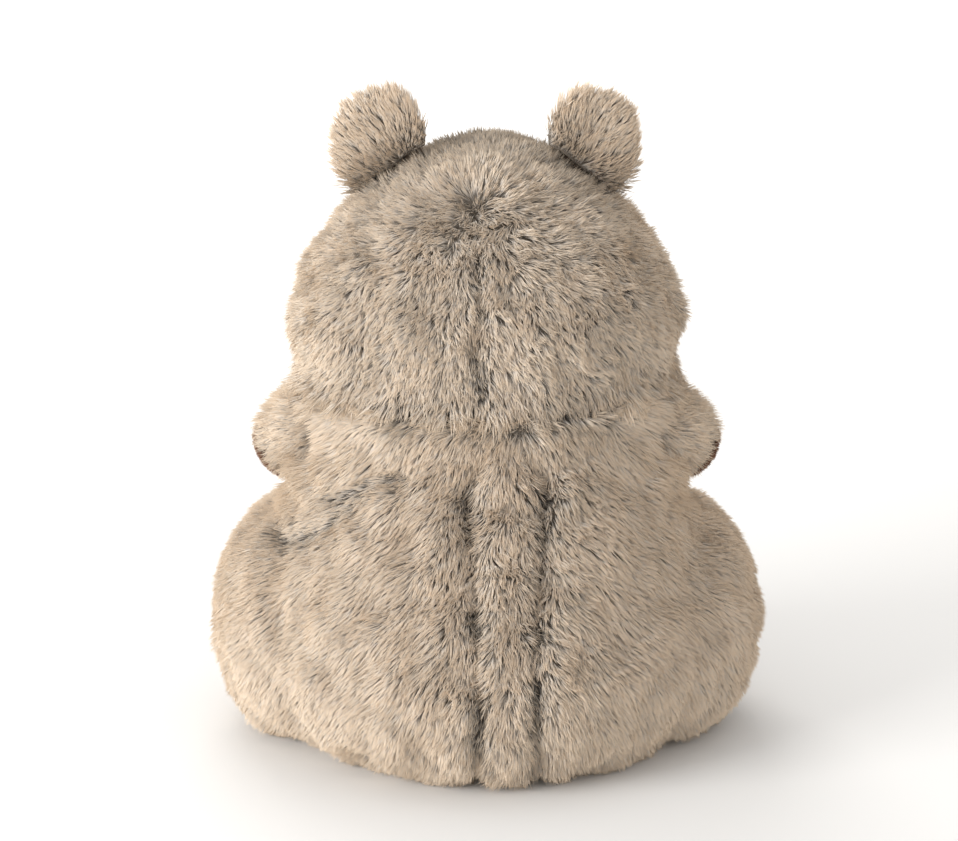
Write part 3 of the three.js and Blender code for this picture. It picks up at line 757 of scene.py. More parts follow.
def fur_material(name, dark, pale):
    """Acrylic pile that reads a strand's shade across and its length upwards from the strand's own map."""
    material, tree, shader = new_material(name)
    chart = add(tree, "ShaderNodeUVMap", uv_map="OFBake")
    read = add(tree, "ShaderNodeSeparateXYZ", {0: chart.outputs["UV"]}).outputs
    colours = []
    for stops in (dark, pale):
        ladder = add(tree, "ShaderNodeValToRGB", {"Fac": read["Y"]})
        while len(ladder.color_ramp.elements) < len(stops):
            ladder.color_ramp.elements.new(0.5)
        for element, (position, colour) in zip(ladder.color_ramp.elements, stops):
            element.position = position
            element.color = linear(colour)
        colours.append(ladder.outputs["Color"])
    mixed = add(tree, "ShaderNodeMix", {0: read["X"], 6: colours[0], 7: colours[1]}, data_type="RGBA")
    tree.links.new(mixed.outputs[2], shader.inputs["Base Color"])
    shader.inputs["Roughness"].default_value = FUR_ROUGHNESS
    shader.inputs["Specular IOR Level"].default_value = FUR_GLOSS
    shader.inputs["Sheen Weight"].default_value = FUR_SHEEN
    return material


# Acrylic long pile, frosted: soft and matt, with tan tips that catch the light over pale grey shafts.
# Darker strands, nearly black at the root, show as streaks along the seams and as flecks elsewhere.
long_fur = fur_material(
    "acrylic_long_pile",
    ((0, "#1c1b1b"), (0.35, "#3f3d3b"), (0.6, "#75706a"), (0.85, "#a89a88"), (1, "#b8a792")),
    ((0, "#d3cac0"), (0.4, "#e4dbd0"), (0.75, "#ecdac4"), (1, "#eed8bd")),
)
# Paler acrylic pile for the belly and the muzzle: the same fibre with less dark at its root.
pale_fur = fur_material(
    "acrylic_pale_pile",
    ((0, "#857767"), (0.35, "#ad9a80"), (0.7, "#c9b69b"), (1, "#d3c2a9")),
    ((0, "#b5a58f"), (0.3, "#dccab0"), (0.65, "#efdfc8"), (1, "#f8eedd")),
)

noise.seed_set(RUMPLE_SEED)
points, normals = points_and_normals(body.data)
in_middle = bell(points[:, 0] - STRIP_X, MIDDLE_WIDTH) * at_back
flow = np.zeros_like(points)
flow[:, 2] = -1
flow[:, 0] = np.clip((points[:, 0] - STRIP_X) / SPREAD_WIDTH, -1, 1) * (0.2 + 0.45 * at_back)
flow = rumpled(flow, points, 0.35 + 0.5 * in_middle)
left_open = stretches(points[:, 2], LEFT_PARTINGS)
right_open = stretches(points[:, 2], RIGHT_PARTINGS)
open_seam = strip_seam * np.where(points[:, 0] > STRIP_X, left_open, right_open)
outwards = np.sign(points[:, 0] - STRIP_X) * np.where(panel == 3, -0.2, 0.6)
flow[:, 0] += outwards * (0.4 * strip_seam + open_seam)
for way, share in zip(crease_ways, crease_bells):
    flow[:, [0, 2]] += unit(way) * (CREASE_COMB * share)[:, None]
near_arm = bell(distances(["left_arm", "right_arm"], points).min(1), ARM_REACH)
flow[:, 0] += ARM_COMB * near_arm * np.sign(points[:, 0])
dart = neck_darts(points)
at_neck = bell(points[:, 2] - NECK_LEVEL, NECK_TURN)
not_side = np.maximum(at_back, ramp(-np.abs(points[:, 0]), -NECK_SIDES[1], -NECK_SIDES[0]))
flow[:, 2] += NECK_COMB * at_neck * not_side * (1 - 0.7 * dart) * (1 - near_arm)
# Painted shade in the hollow under the left arm, between the arm and the haunch.
hollow_shade = bell(np.linalg.norm(line_offset(points, LEFT_HOLLOW_SHADE), axis=1), HOLLOW_SHADE_WIDTH) * at_back
body_pile = BELLY_PILE + (SMOOTH_PILE - BELLY_PILE) * at_back + (BACK_PILE - SMOOTH_PILE) * in_middle
thinned = 0.2 * strip_seam + 0.3 * open_seam + 0.3 * crease + 0.15 * dart
lift = neck_facing(points, normals)
body_lean = PILE_LEAN * (1 - NECK_UPRIGHT * at_neck)
body_groom = {
    "lay": laid(flow, lift, body_lean + LEAN_SPREAD * patches(points, FINE_RUMPLE)),
    "lift": lift,
    "pile": (body_pile + ARM_COVER * near_arm) * (1 - 0.25 * strip_seam) * (1 - 0.3 * crease),
    "thick": np.clip(1 - thinned, 0.1, 1) * (FRONT_THINNER + (1 - FRONT_THINNER) * at_back),
    # The tone is lowered and dark strands are added along the creases: painted shade where the fabric folds
    # in.
    "tone": BODY_TONE
    + BODY_MOTTLE * patches(points, PATCH_SIZE)
    - 0.04 * strip_seam
    - 0.25 * open_seam
    - 0.2 * crease
    - 0.08 * hollow_shade
    - 0.15 * dart,
    "fleck": 0.006 * in_middle + 0.06 * strip_seam + 0.5 * open_seam + 0.45 * crease + 0.35 * dart,
    "loose": 0.3 + 0.6 * in_middle + 0.4 * crease,
}
body_panel = panel[face_corners(body.data)[:, 0]]
below_neck = mesh_array(body.data.polygons, "normal", 3)[:, 2] < CAP_FACING
for number, node in enumerate(PANELS):
    if node == "base_panel":
        continue
    front = node == "belly_panel"
    grow_pile(
        f"{node}_pile",
        body,
        (body_panel == number) & below_neck,
        body_groom,
        pale_fur if front else long_fur,
        "torso",
        "pale_fur" if front else "fur",
        FRONT_DENSITY if front else BACK_DENSITY,
        [node],
        SEED_STEP * number,
    )

# Bag of pellets
# A plain woven cotton bag of plastic pellets, shut inside the seat, which gives the toy its weight.
# It is wholly hidden, and lies loose on the base panel under the stuffing.
COTTON_COLOURS = ("#b9ad97", "#d8cfbd")
COTTON_THREAD = 0.8 * MM
COTTON_ROUGHNESS = 0.9

# Unbleached cotton, plain weave: a pale matt cloth with its threads crossing, drawn coarse to show.
cotton, cotton_tree, cotton_shader = new_material("unbleached_cotton_weave")
cotton_place = add(cotton_tree, "ShaderNodeTexCoord")
weave = add(
    cotton_tree,
    "ShaderNodeTexChecker",
    {
        "Vector": cotton_place.outputs["Object"],
        "Color1": linear(COTTON_COLOURS[0]),
        "Color2": linear(COTTON_COLOURS[1]),
        "Scale": 1 / COTTON_THREAD,
    },
)
cotton_tree.links.new(weave.outputs["Color"], cotton_shader.inputs["Base Color"])
cotton_shader.inputs["Roughness"].default_value = COTTON_ROUGHNESS
pouch = frame["nodes"]["pellet_pouch"]
pouch.data.materials.clear()
pouch.data.materials.append(cotton)

# Feet
# Long stuffed feet of the same fur fabric, which stick out in front from under the haunches.
# Each is sewn in at the heel, and its pile runs towards the toes.
SIDES = ("left", "right")
ALL_FACES = slice(None)
LIMB_SMOOTHING = 5
LIMB_PIN = 7 * MM
LIMB_MOTTLE = 0.15
FOOT_VOXEL = 3.2 * MM
FOOT_PILE = 8 * MM
FOOT_TONE = 0.84
FOOT_DROOP = 0.25
FOOT_SEED = 1000
SOLE_TRIM = (0.6 * MM, 4 * MM)


def stuffed_limb(node, body_name, voxel):
    """A stuffed limb in place of its CAD solid, held at its root seam while it swells."""
    form = remeshed(f"{node}_stuffed", [node], voxel, LIMB_SMOOTHING)
    places = mesh_array(form.data.vertices, "co", 3)
    axis = unit((places.mean(0) - joint_place(body_name))[None])[0]
    reach = (places - joint_place(body_name)) @ axis
    swell(form, reach < reach.min() + LIMB_PIN)
    places = mesh_array(form.data.vertices, "co", 3)
    places[:, 2] = np.maximum(places[:, 2], 0)
    set_points(form.data, places)
    form.data.materials.append(backing)
    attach(form, body_name)
    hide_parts(node)
    return form, axis


def clear_of(nodes, points, bare, full):
    """0 close to CAD nodes, where no pile grows, and 1 well away from them."""
    return ramp(distances(nodes, points).min(1), bare, full)


def facing_out(normals, axis):
    """Normals that don't turn back towards a limb's root seam, where its coat meets the next one."""
    return unit(normals - np.outer(np.minimum(normals @ axis, 0), axis))


for side in SIDES:
    form, axis = stuffed_limb(f"{side}_foot", f"{side}_foot", FOOT_VOXEL)
    points, normals = points_and_normals(form.data)
    clear = clear_of([f"{side}_sole"], points, *SOLE_TRIM)
    flow = rumpled(np.tile(axis + [0, 0, -FOOT_DROOP], (len(points), 1)), points, 0.4)
    groom = {
        "lay": laid(flow, normals, PILE_LEAN),
        "lift": normals,
        "pile": FOOT_PILE * (0.5 + 0.5 * clear),
        "thick": clear * ramp(normals @ axis, -0.7, -0.3),
        "tone": FOOT_TONE + LIMB_MOTTLE * patches(points, PATCH_SIZE),
        "fleck": np.full(len(points), 0.01),
        "loose": np.full(len(points), 0.6),
    }
    name = f"{side}_foot"
    grow_pile(f"{name}_pile", form, ALL_FACES, groom, long_fur, name, "fur", FRONT_DENSITY, [], FOOT_SEED)

# Soles, paw pads and ear linings
# Short brown plush, cut to shape and sewn on over the fur fabric of the feet, paws and ears.
# Its pile is only two or three millimetres long and stands up, so that it looks like suede.
PLUSH_VOXEL = 1.3 * MM
PLUSH_PILE = 2.4 * MM
PLUSH_DENSITY = 2.6e6
PLUSH_RADIUS = 0.25 * MM
PLUSH_PULL = 0.05
PLUSH_TONE = 0.5
PLUSH_MOTTLE = 0.3
PLUSH_PATCHES = (("sole", "foot", 1200), ("paw_pad", "arm", 1300), ("ear_lining", "ear", 1400))

# Cropped polyester plush: dense and dull, a warm brown with a little lighter tips.
brown_plush = fur_material(
    "cropped_brown_plush",
    ((0, "#54392b"), (0.5, "#74523f"), (1, "#8a6651")),
    ((0, "#6a4a39"), (0.5, "#8f6a55"), (1, "#ab8670")),
)


def plush_patch(node, body_name, seed):
    """A sewn-on patch of cropped plush in place of its CAD solid."""
    form = remeshed(f"{node}_patch", [node], PLUSH_VOXEL, LIMB_SMOOTHING)
    form.data.materials.append(backing)
    form.data.shade_smooth()
    places, facing = points_and_normals(form.data)
    count = len(places)
    groom = {
        "lay": facing,
        "lift": facing,
        "pile": np.full(count, PLUSH_PILE),
        "thick": np.ones(count),
        "tone": PLUSH_TONE + PLUSH_MOTTLE * patches(places, PATCH_SIZE / 2),
        "fleck": np.zeros(count),
        "loose": np.full(count, 0.6),
    }
    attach(form, body_name)
    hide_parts(node)
    changes = {"Radius": PLUSH_RADIUS, "Clump pull": PLUSH_PULL}
    grow_pile(
        f"{node}_plush",
        form,
        ALL_FACES,
        groom,
        brown_plush,
        body_name,
        "brown_pile",
        PLUSH_DENSITY,
        [],
        seed,
        **changes,
    )


for side in SIDES:
    for patch, limb, seed in PLUSH_PATCHES:
        plush_patch(f"{side}_{patch}", f"{side}_{limb}", seed)

# Arms
# Short stuffed tubes of the same fur fabric, shut at the paw and sewn on at the shoulder.
# The pile runs outwards along the arm and ends in loose tufts round the small brown pad.
ARM_VOXEL = 3 * MM
ARM_PILE = 11 * MM
ARM_TONE = 0.82
ARM_DROOP = 0.2
ARM_SEED = 1100
PAD_TRIM = (0.6 * MM, 5 * MM)

for side in SIDES:
    form, axis = stuffed_limb(f"{side}_arm", f"{side}_arm", ARM_VOXEL)
    points, normals = points_and_normals(form.data)
    clear = clear_of([f"{side}_paw_pad"], points, *PAD_TRIM)
    flow = rumpled(np.tile(axis + [0, 0, -ARM_DROOP], (len(points), 1)), points, 0.6)
    lift = facing_out(normals, axis)
    groom = {
        "lay": laid(flow, lift, PILE_LEAN),
        "lift": lift,
        "pile": ARM_PILE * (0.45 + 0.55 * clear),
        "thick": clear * ramp(normals @ axis, -0.95, -0.75),
        "tone": ARM_TONE + LIMB_MOTTLE * patches(points, PATCH_SIZE),
        "fleck": np.full(len(points), 0.02),
        "loose": np.full(len(points), 0.9),
    }
    name = f"{side}_arm"
    grow_pile(f"{name}_pile", form, ALL_FACES, groom, long_fur, name, "fur", BACK_DENSITY, [], ARM_SEED)

# Stuffed head
# Two back panels and a face panel of fur fabric, sewn together and stuffed round, on the neck seam.
# The seam down the back of the head ends below the crown in a whorl, where the pile turns every way.
HEAD_NODES = ("head_filling", "head_back_left", "head_back_right", "face_panel")
HEAD_PANELS = HEAD_NODES[1:]
HEAD_VOXEL = 4 * MM
HEAD_SMOOTHING = 8
NECK_PIN = 5 * MM
WHORL = np.array((7, 57, 252)) * MM
WHORL_WIDTH = 3.5 * MM
WHORL_REACH = 20 * MM
WHORL_DROP = 25 * MM
FACE_RANGE = (-5 * MM, 30 * MM)
HEAD_SEAM_X = 3.5 * MM
HEAD_SEAM_WIDTH = 3 * MM
HEAD_SEAM_SHARE = 0.7
WAVER = 1.2 * MM
WAVER_LENGTH = 5 * MM

head = remeshed("stuffed_head", HEAD_NODES, HEAD_VOXEL, HEAD_SMOOTHING)
points = mesh_array(head.data.vertices, "co", 3)
far = distances(HEAD_PANELS, points)
on_seam = (np.abs(far[:, 0] - far[:, 1]) < SEAM_PIN) & (far[:, :2].min(1) < SEAM_PIN)
swell(head, on_seam | (points[:, 2] < NECK_LEVEL + NECK_PIN))
points, normals = points_and_normals(head.data)
panel = distances(HEAD_PANELS, points).argmin(1)
below_whorl = ramp(WHORL[2] - points[:, 2], 0, WHORL_DROP)
waver = WAVER * np.sin(points[:, 2] / WAVER_LENGTH)
from_seam = points[:, 0] - HEAD_SEAM_X - waver
centre_seam = bell(from_seam, HEAD_SEAM_WIDTH) * (panel != 2) * below_whorl
whorl = bell(np.linalg.norm(points - WHORL, axis=1), WHORL_WIDTH)
on_face = ramp(-points[:, 1], *FACE_RANGE)
lumps = LUMP_HEIGHT * patches(points, LUMP_SIZE) * (1 - on_face)
sunk = SEAM_DEPTH * np.maximum(HEAD_SEAM_SHARE * centre_seam, whorl) - lumps
points = neck_filled(points - normals * sunk[:, None], normals)
set_points(head.data, points)
head.data.materials.append(backing)
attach(head, "head")
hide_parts("head_filling")

# Pile of the head
# At the back it runs out from the whorl to the crown and the cheeks, and hangs down over the neck seam.
# On the face it is shorter and runs back from the nose, and it is trimmed round the eyes.
HEAD_PILE = 9 * MM
HEAD_TONE = 0.79
HEAD_MOTTLE = 0.15
HEAD_SEED = 2000
FACE_PILE = 7 * MM
LOCK_PILE = 8 * MM
LOCK_WIDTH = 8 * MM
EYE_TRIM = (0.5 * MM, 9 * MM)
EAR_REACH = 7 * MM
EAR_COVER = 4 * MM
CROWN_DEPTH = (-60 * MM, -10 * MM)
CROWN_HEIGHT = (235 * MM, 255 * MM)
HEAD_PARTINGS = ((172, 200), (208, 240))
CURLS = np.array((12, 68, 238)) * MM
CURLS_WIDTH = 13 * MM

normals = mesh_array(head.data.vertices, "normal", 3)
nose_middle = np.mean([list(corner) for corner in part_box("nose")], axis=0)
from_whorl = unit(points - WHORL)
from_whorl[:, 2] -= 0.3 * below_whorl
flow = unit(from_whorl) * (1 - on_face)[:, None] + unit(points - nose_middle) * on_face[:, None]
near_whorl = bell(np.linalg.norm(points - WHORL, axis=1), WHORL_REACH)
flow = rumpled(flow, points, 1.3 - on_face + 0.5 * near_whorl)
open_seam = centre_seam * stretches(points[:, 2], HEAD_PARTINGS)
flow[:, 0] += np.sign(from_seam) * (0.2 * centre_seam + 0.5 * open_seam)
dart = neck_darts(points)
at_neck = bell(points[:, 2] - NECK_LEVEL, NECK_TURN)
locks = at_neck * (1 - 0.4 * on_face) * (1 - 0.8 * dart) * (0.7 + patches(points, LOCK_WIDTH))
flow[:, 2] -= NECK_COMB * at_neck
curls = bell(np.linalg.norm(points - CURLS, axis=1), CURLS_WIDTH)
eyes_clear = clear_of(["left_eye", "right_eye", "nose"], points, *EYE_TRIM)
# Painted shade on the top of the head beyond the crown, between the ears, where it turns away from the
# lamp.
crown_painted_shade = ramp(-points[:, 1], *CROWN_DEPTH) * ramp(points[:, 2], *CROWN_HEIGHT)
near_ear = bell(distances(["left_ear_back", "right_ear_back"], points).min(1), EAR_REACH)
head_pile = HEAD_PILE + (FACE_PILE - HEAD_PILE) * on_face + LOCK_PILE * locks + EAR_COVER * near_ear
head_lean = PILE_LEAN * (1 - 0.4 * near_ear) + LEAN_SPREAD * patches(points, FINE_RUMPLE)
thinned = 0.3 * open_seam + 0.3 * whorl + 0.15 * dart
lift = neck_facing(points, normals)
head_groom = {
    "lay": laid(flow, lift, head_lean),
    "lift": lift,
    "pile": head_pile * (1 - 0.3 * open_seam) * (1 - 0.25 * dart) * (0.35 + 0.65 * eyes_clear),
    "thick": np.clip(1 - thinned, 0.1, 1) * ramp(eyes_clear, 0, 0.05),
    "tone": HEAD_TONE
    + HEAD_MOTTLE * patches(points, PATCH_SIZE)
    - 0.2 * open_seam
    - 0.4 * whorl
    - 0.1 * curls
    - 0.4 * crown_painted_shade
    - 0.15 * dart,
    "fleck": 0.008 * (1 - on_face) + 0.08 * curls + 0.2 * whorl + 0.35 * open_seam + 0.35 * dart,
    "loose": 0.95 - 0.35 * on_face + 0.4 * curls,
}
head_panel = panel[face_corners(head.data)[:, 0]]
above_neck = mesh_array(head.data.polygons, "normal", 3)[:, 2] > -CAP_FACING
for number, node in enumerate(HEAD_PANELS):
    grow_pile(
        f"{node}_pile",
        head,
        (head_panel == number) & above_neck,
        head_groom,
        long_fur,
        "head",
        "fur",
        FRONT_DENSITY if node == "face_panel" else BACK_DENSITY,
        [node],
        HEAD_SEED + SEED_STEP * number,
    )

# Muzzle
# A separate cup of paler fur fabric with a short pile, stuffed and sewn to the front of the face.
# Its pile runs back from the nose and leaves the mouth's stitches bare.
MUZZLE_VOXEL = 3 * MM
MUZZLE_PILE = 5 * MM
MUZZLE_TONE = 0.6
MUZZLE_MOTTLE = 0.16
MUZZLE_SEED = 2500
NOSE_TRIM = (0.8 * MM, 6 * MM)
STITCH_BARE = 2.8 * MM
STITCH_MARGIN = 4 * MM

muzzle = remeshed("muzzle_stuffed", ["muzzle"], MUZZLE_VOXEL, LIMB_SMOOTHING)
points = mesh_array(muzzle.data.vertices, "co", 3)
swell(muzzle, distances(["face_panel"], points)[:, 0] < SEAM_PIN)
muzzle.data.materials.append(backing)
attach(muzzle, "head")
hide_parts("muzzle")
points, normals = points_and_normals(muzzle.data)
clear = np.minimum(
    clear_of(["nose"], points, *NOSE_TRIM),
    clear_of(["mouth_stitch"], points, STITCH_BARE, STITCH_BARE + STITCH_MARGIN),
)
muzzle_groom = {
    "lay": laid(points - nose_middle, normals, PILE_LEAN),
    "lift": normals,
    "pile": MUZZLE_PILE * (0.45 + 0.55 * clear),
    "thick": ramp(clear, 0, 0.05) * ramp(-normals[:, 1], -0.6, -0.2),
    "tone": MUZZLE_TONE + MUZZLE_MOTTLE * patches(points, PATCH_SIZE),
    "fleck": np.full(len(points), 0.01),
    "loose": np.full(len(points), 0.6),
}
grow_pile(
    "muzzle_pile",
    muzzle,
    ALL_FACES,
    muzzle_groom,
    pale_fur,
    "head",
    "pale_fur",
    BACK_DENSITY,
    [],
    MUZZLE_SEED,
)

# Eyes and their washers
# Domed plastic safety eyes: each is moulded with a shank, which is pushed through the face panel.
# A ridged lock washer on the shank behind the fabric holds it for good.
EYE_RADIUS = 8 * MM
EYE_DOME = 5.5 * MM
EYE_EDGE = 0.8 * MM
EYE_SIDES = 40
EYE_STEPS = 12
SHANK_RADIUS = 2 * MM
SHANK_LENGTH = 9 * MM
EYE_COLOURS = ("#0b0807", "#17100c")
WASHER_COLOURS = ("#dcdad2", "#e6e4dd")
PLASTIC_MOTTLE = 3 * MM
PLASTIC_IOR = 1.5


def moulded(name, colours, roughness, coat):
    """Moulded plastic with a faint mottle of its two colours."""
    material, tree, shader = new_material(name)
    place = add(tree, "ShaderNodeTexCoord")
    cloud = add(
        tree,
        "ShaderNodeTexNoise",
        {"Vector": place.outputs["Object"], "Scale": 1 / PLASTIC_MOTTLE, "Detail": 3},
    )
    tint = add(tree, "ShaderNodeValToRGB", {"Fac": cloud.outputs["Fac"]})
    for element, colour in zip(tint.color_ramp.elements, colours):
        element.color = linear(colour)
    tree.links.new(tint.outputs["Color"], shader.inputs["Base Color"])
    shader.inputs["Roughness"].default_value = roughness
    shader.inputs["Coat Weight"].default_value = coat
    shader.inputs["IOR"].default_value = PLASTIC_IOR
    return material


def turned(name, profile, seat, axis, sides):
    """A closed round solid from radii and heights along an axis, which starts and ends on the axis."""
    axis = Vector(axis).normalized()
    across = axis.orthogonal().normalized()
    beside = axis.cross(across)
    solid = bmesh.new()
    rings = []
    for radius, height in profile:
        angles = [2 * math.pi * step / sides for step in range(sides if radius > 0 else 1)]
        rings.append([
            solid.verts.new(
                Vector(seat)
                + axis * height
                + (across * math.cos(angle) + beside * math.sin(angle)) * radius
            )
            for angle in angles
        ])
    for low, high in zip(rings[:-1], rings[1:]):
        for step in range(sides):
            corners = [low[step % len(low)], low[(step + 1) % len(low)]]
            corners += [high[(step + 1) % len(high)], high[step % len(high)]]
            solid.faces.new(list(dict.fromkeys(corners)))
    bmesh.ops.recalc_face_normals(solid, faces=solid.faces)
    mesh = bpy.data.meshes.new(name)
    solid.to_mesh(mesh)
    solid.free()
    mesh.shade_smooth()
    return mesh_object(name, mesh)


# Gloss acrylic: near black with a hard, clear highlight, as the dome is polished in its mould.
eye_gloss = moulded("gloss_black_acrylic", EYE_COLOURS, roughness=0.08, coat=0.5)
# Natural polythene: milky and waxy, plain as it leaves the mould.
washer_plastic = moulded("natural_polythene", WASHER_COLOURS, roughness=0.45, coat=0)
for side in SIDES:
    washer_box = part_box(f"{side}_eye_washer")
    washer_middle = (washer_box[0] + washer_box[1]) / 2
    eye_mesh = frame["nodes"][f"{side}_eye"].data
    eye_points = np.unique(mesh_array(eye_mesh.vertices, "co", 3).round(6), axis=0)
    axis = (Vector(eye_points.mean(0)) - washer_middle).normalized()
    front = max((Vector(point) - washer_middle).dot(axis) for point in eye_points)
    seat = washer_middle + axis * (front - EYE_DOME)
    profile = [(0, -SHANK_LENGTH), (SHANK_RADIUS, -SHANK_LENGTH), (SHANK_RADIUS, 0)]
    profile += [(EYE_RADIUS - EYE_EDGE, 0)]
    for step in range(EYE_STEPS + 1):
        lean = math.pi / 2 * step / EYE_STEPS
        radius = EYE_RADIUS * math.cos(lean) if step < EYE_STEPS else 0
        profile.append((radius, EYE_EDGE + (EYE_DOME - EYE_EDGE) * math.sin(lean)))
    eye = turned(f"{side}_safety_eye", profile, seat, axis, EYE_SIDES)
    eye.data.materials.append(eye_gloss)
    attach(eye, "head")
    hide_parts(f"{side}_eye")
    washer = frame["nodes"][f"{side}_eye_washer"]
    washer.data.materials.clear()
    washer.data.materials.append(washer_plastic)

# Nose
# A moulded plastic nose of a soft triangle, held like the eyes, with a satin surface.
# It sits high on the front of the muzzle.
NOSE_VOXEL = 0.9 * MM
NOSE_SMOOTHING = 8
NOSE_COLOURS = ("#120c0a", "#1d1512")

# Satin acrylic: nearly black, with a broad soft highlight from its lightly grained mould.
nose_satin = moulded("satin_black_acrylic", NOSE_COLOURS, roughness=0.28, coat=0.2)
nose = remeshed("moulded_nose", ["nose"], NOSE_VOXEL, NOSE_SMOOTHING)
nose.data.shade_smooth()
nose.data.materials.append(nose_satin)
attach(nose, "head")
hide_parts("nose")

# Mouth
# Black embroidery thread in a row of short back stitches: a line down from the nose and a smile.
# Each stitch goes in where the last one came out, so that the row looks like a twisted cord.
MUZZLE_MIDDLE = Vector((0, -66.2, 192)) * MM
MUZZLE_HALF = Vector((40, 33, 29)) * MM
SMILE_SPREAD = 40
SMILE_DROP = 24
SMILE_POINTS = 33
PHILTRUM_POINTS = 9
STITCH_LENGTH = 3.4 * MM
STITCH_OVERLAP = 1.25
THREAD_RADIUS = 1.1 * MM
THREAD_PROUD = 1.3 * MM
THREAD_AND_SHEEN_COLOURS = ("#0f0c0b", "#2a2320")
THREAD_TWIST = 0.7 * MM
WAVE_BANDS = 6
THREAD_ROUGHNESS = 0.55
BEAD_SIDES = 8
BEAD_RINGS = 6


def on_muzzle(around, lift):
    """A place just off the muzzle's fabric, by degrees to the side and upwards from its middle."""
    around = math.radians(around)
    lift = math.radians(lift)
    out = Vector((
        math.sin(around) * math.cos(lift) * MUZZLE_HALF.x,
        -math.cos(around) * math.cos(lift) * MUZZLE_HALF.y,
        math.sin(lift) * MUZZLE_HALF.z,
    ))
    place, facing, _, _ = muzzle_skin.find_nearest(MUZZLE_MIDDLE + out)
    return place + facing * THREAD_PROUD


def stitch_tree():
    """Geometry Nodes that lay a row of stitches along the edges of a path."""
    tree = bpy.data.node_groups.new("stitch_row", "GeometryNodeTree")
    tree.interface.new_socket("Path", in_out="INPUT", socket_type="NodeSocketGeometry")
    tree.interface.new_socket("Stitch length", in_out="INPUT", socket_type="NodeSocketFloat")
    tree.interface.new_socket("Thread radius", in_out="INPUT", socket_type="NodeSocketFloat")
    tree.interface.new_socket("Thread", in_out="INPUT", socket_type="NodeSocketMaterial")
    tree.interface.new_socket("Stitches", in_out="OUTPUT", socket_type="NodeSocketGeometry")
    given = add(tree, "NodeGroupInput").outputs
    path = add(tree, "GeometryNodeMeshToCurve", {0: given["Path"]})
    path = add(
        tree,
        "GeometryNodeResampleCurve",
        {"Curve": path, "Length": given["Stitch length"]},
        mode="LENGTH",
    )
    tangent = add(tree, "GeometryNodeInputTangent")
    turn = add(tree, "FunctionNodeAlignRotationToVector", {"Vector": tangent}, axis="Z")
    half = {0: given["Stitch length"], 1: STITCH_OVERLAP / 2}
    half = add(tree, "ShaderNodeMath", half, operation="MULTIPLY")
    size = {0: given["Thread radius"], 1: given["Thread radius"], 2: half}
    size = add(tree, "ShaderNodeCombineXYZ", size)
    bead = {"Segments": BEAD_SIDES, "Rings": BEAD_RINGS, "Radius": 1.0}
    bead = add(tree, "GeometryNodeMeshUVSphere", bead)
    row = add(
        tree,
        "GeometryNodeInstanceOnPoints",
        {"Points": path, "Instance": bead, "Rotation": turn, "Scale": size},
    )
    row = add(tree, "GeometryNodeRealizeInstances", {"Geometry": row})
    row = add(tree, "GeometryNodeSetMaterial", {"Geometry": row, "Material": given["Thread"]})
    add(tree, "NodeGroupOutput", {"Stitches": row})
    return tree


# Mercerised cotton thread: black, with a painted sheen of lighter bands along the twist of its plies for
# its slight silky light.
thread, thread_tree, thread_shader = new_material("black_embroidery_thread")
thread_place = add(thread_tree, "ShaderNodeTexCoord")
plies = add(
    thread_tree,
    "ShaderNodeTexWave",
    {
        "Vector": thread_place.outputs["Object"],
        "Scale": 1 / THREAD_TWIST / WAVE_BANDS,
        "Distortion": 1.5,
    },
    bands_direction="DIAGONAL",
)
painted_ply_sheen = add(thread_tree, "ShaderNodeValToRGB", {"Fac": plies.outputs["Fac"]})
for element, colour in zip(painted_ply_sheen.color_ramp.elements, THREAD_AND_SHEEN_COLOURS):
    element.color = linear(colour)
thread_tree.links.new(painted_ply_sheen.outputs["Color"], thread_shader.inputs["Base Color"])
thread_shader.inputs["Roughness"].default_value = THREAD_ROUGHNESS

muzzle_skin = skin_tree(muzzle.data)
mouth_points = []
mouth_edges = []
for step in range(SMILE_POINTS):
    across = 2 * step / (SMILE_POINTS - 1) - 1
    mouth_points.append(on_muzzle(across * SMILE_SPREAD, -SMILE_DROP + SMILE_DROP * across ** 2 / 2))
mouth_edges += [(step, step + 1) for step in range(SMILE_POINTS - 1)]
for step in range(PHILTRUM_POINTS):
    mouth_points.append(on_muzzle(0, -SMILE_DROP * step / (PHILTRUM_POINTS - 1)))
mouth_edges += [(SMILE_POINTS + step, SMILE_POINTS + step + 1) for step in range(PHILTRUM_POINTS - 1)]
mouth_path = bpy.data.meshes.new("mouth")
mouth_path.from_pydata(mouth_points, mouth_edges, [])
mouth = mesh_object("mouth_stitches", mouth_path)
row_tree = stitch_tree()
row_sockets = {item.name: item.identifier for item in row_tree.interface.items_tree}
sewing = mouth.modifiers.new("stitches", "NODES")
sewing.node_group = row_tree
sewing[row_sockets["Stitch length"]] = STITCH_LENGTH
sewing[row_sockets["Thread radius"]] = THREAD_RADIUS
sewing[row_sockets["Thread"]] = thread
apply_modifiers(mouth)
mouth.data.shade_smooth()
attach(mouth, "head")
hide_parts("mouth_stitch")

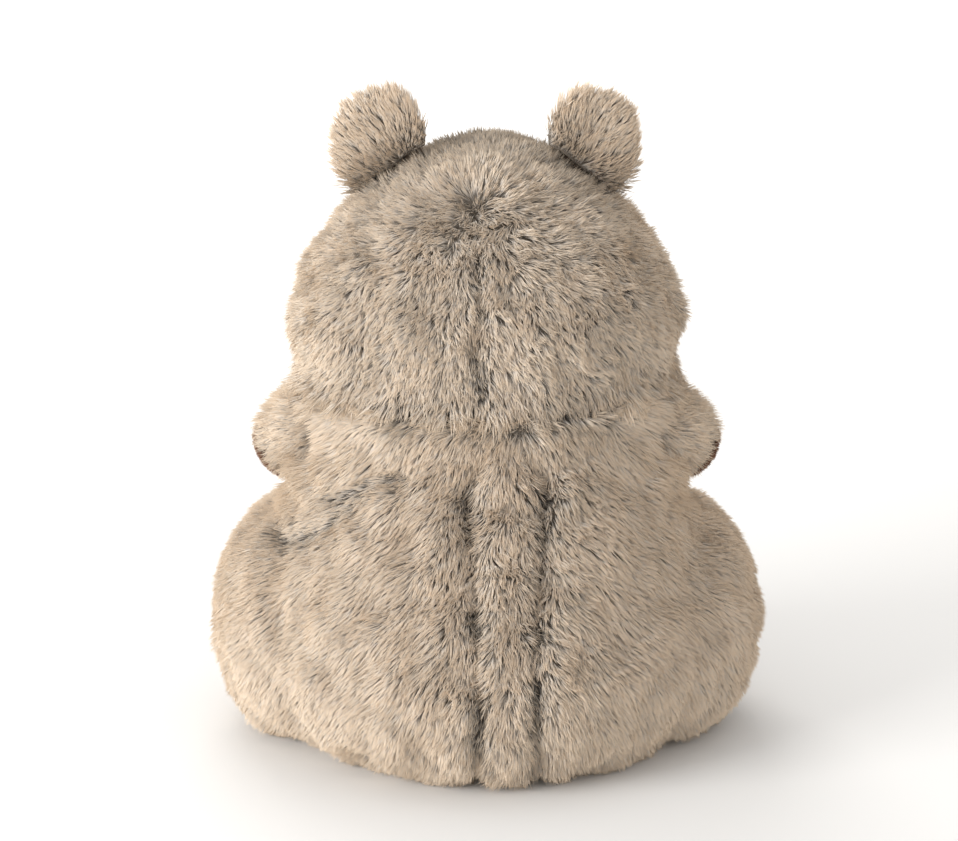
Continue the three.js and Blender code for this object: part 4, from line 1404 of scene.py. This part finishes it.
# Ears
# Round flaps of fur fabric, thinly stuffed and sewn into the seam on top of the head.
# The pile runs from the root to the rim and past it, and is longest at the top and at the root.
EAR_VOXEL = 2 * MM
EAR_PILE = 8.5 * MM
EAR_LEAN = math.radians(55)
EAR_TONE = 0.95
EAR_SEED = 3000
EAR_ROOT = 8 * MM
EAR_ROOT_PAINTED_SHADE = 0.15
EAR_ROOT_UPRIGHT = 0.7
EAR_FAN = 0.6
EAR_FLATNESS = 0.8
EAR_CREST = 0.35
CREST_RISE = 5 * MM
CREST_INWARDS = 0.6
CREST_RANGE = (0.7, 1)
LINING_TRIM = (0.6 * MM, 3 * MM)

for side in SIDES:
    form, axis = stuffed_limb(f"{side}_ear_back", f"{side}_ear", EAR_VOXEL)
    points = mesh_array(form.data.vertices, "co", 3)
    from_root = points - joint_place(f"{side}_ear")
    inwards = -CREST_INWARDS * np.sign(joint_place(f"{side}_ear")[0])
    upwards = unit(from_root) @ unit(np.array([[inwards, 0, 1]]))[0]
    crest = ramp(upwards, *CREST_RANGE)
    points += unit(from_root) * (CREST_RISE * crest)[:, None]
    set_points(form.data, points)
    normals = mesh_array(form.data.vertices, "normal", 3)
    clear = clear_of([f"{side}_ear_lining"], points, *LINING_TRIM)
    reach = from_root @ axis
    at_root = bell(reach - reach.min(), EAR_ROOT)
    flow = rumpled(EAR_FAN * unit(from_root) + axis, points, 0.6)
    longer = EAR_CREST * np.maximum(crest, at_root)
    lift = facing_out(normals, axis)
    lift = unit(lift + np.outer(EAR_FLATNESS * ramp(lift[:, 1], 0, 0.5), [0, 1, 0]))
    groom = {
        "lay": laid(flow, lift, EAR_LEAN * (1 - EAR_ROOT_UPRIGHT * at_root)),
        "lift": lift,
        "pile": EAR_PILE * (0.6 + 0.4 * clear) * (1 + longer),
        "thick": clear * ramp(normals @ axis, -0.95, -0.8),
        # Darker towards the root: painted shade in the crevice where the ear meets the head.
        "tone": EAR_TONE + LIMB_MOTTLE * patches(points, PATCH_SIZE) - EAR_ROOT_PAINTED_SHADE * at_root,
        "fleck": np.full(len(points), 0.01),
        "loose": np.full(len(points), 0.55),
    }
    name = f"{side}_ear"
    grow_pile(f"{name}_pile", form, ALL_FACES, groom, long_fur, name, "fur", BACK_DENSITY, [], EAR_SEED)
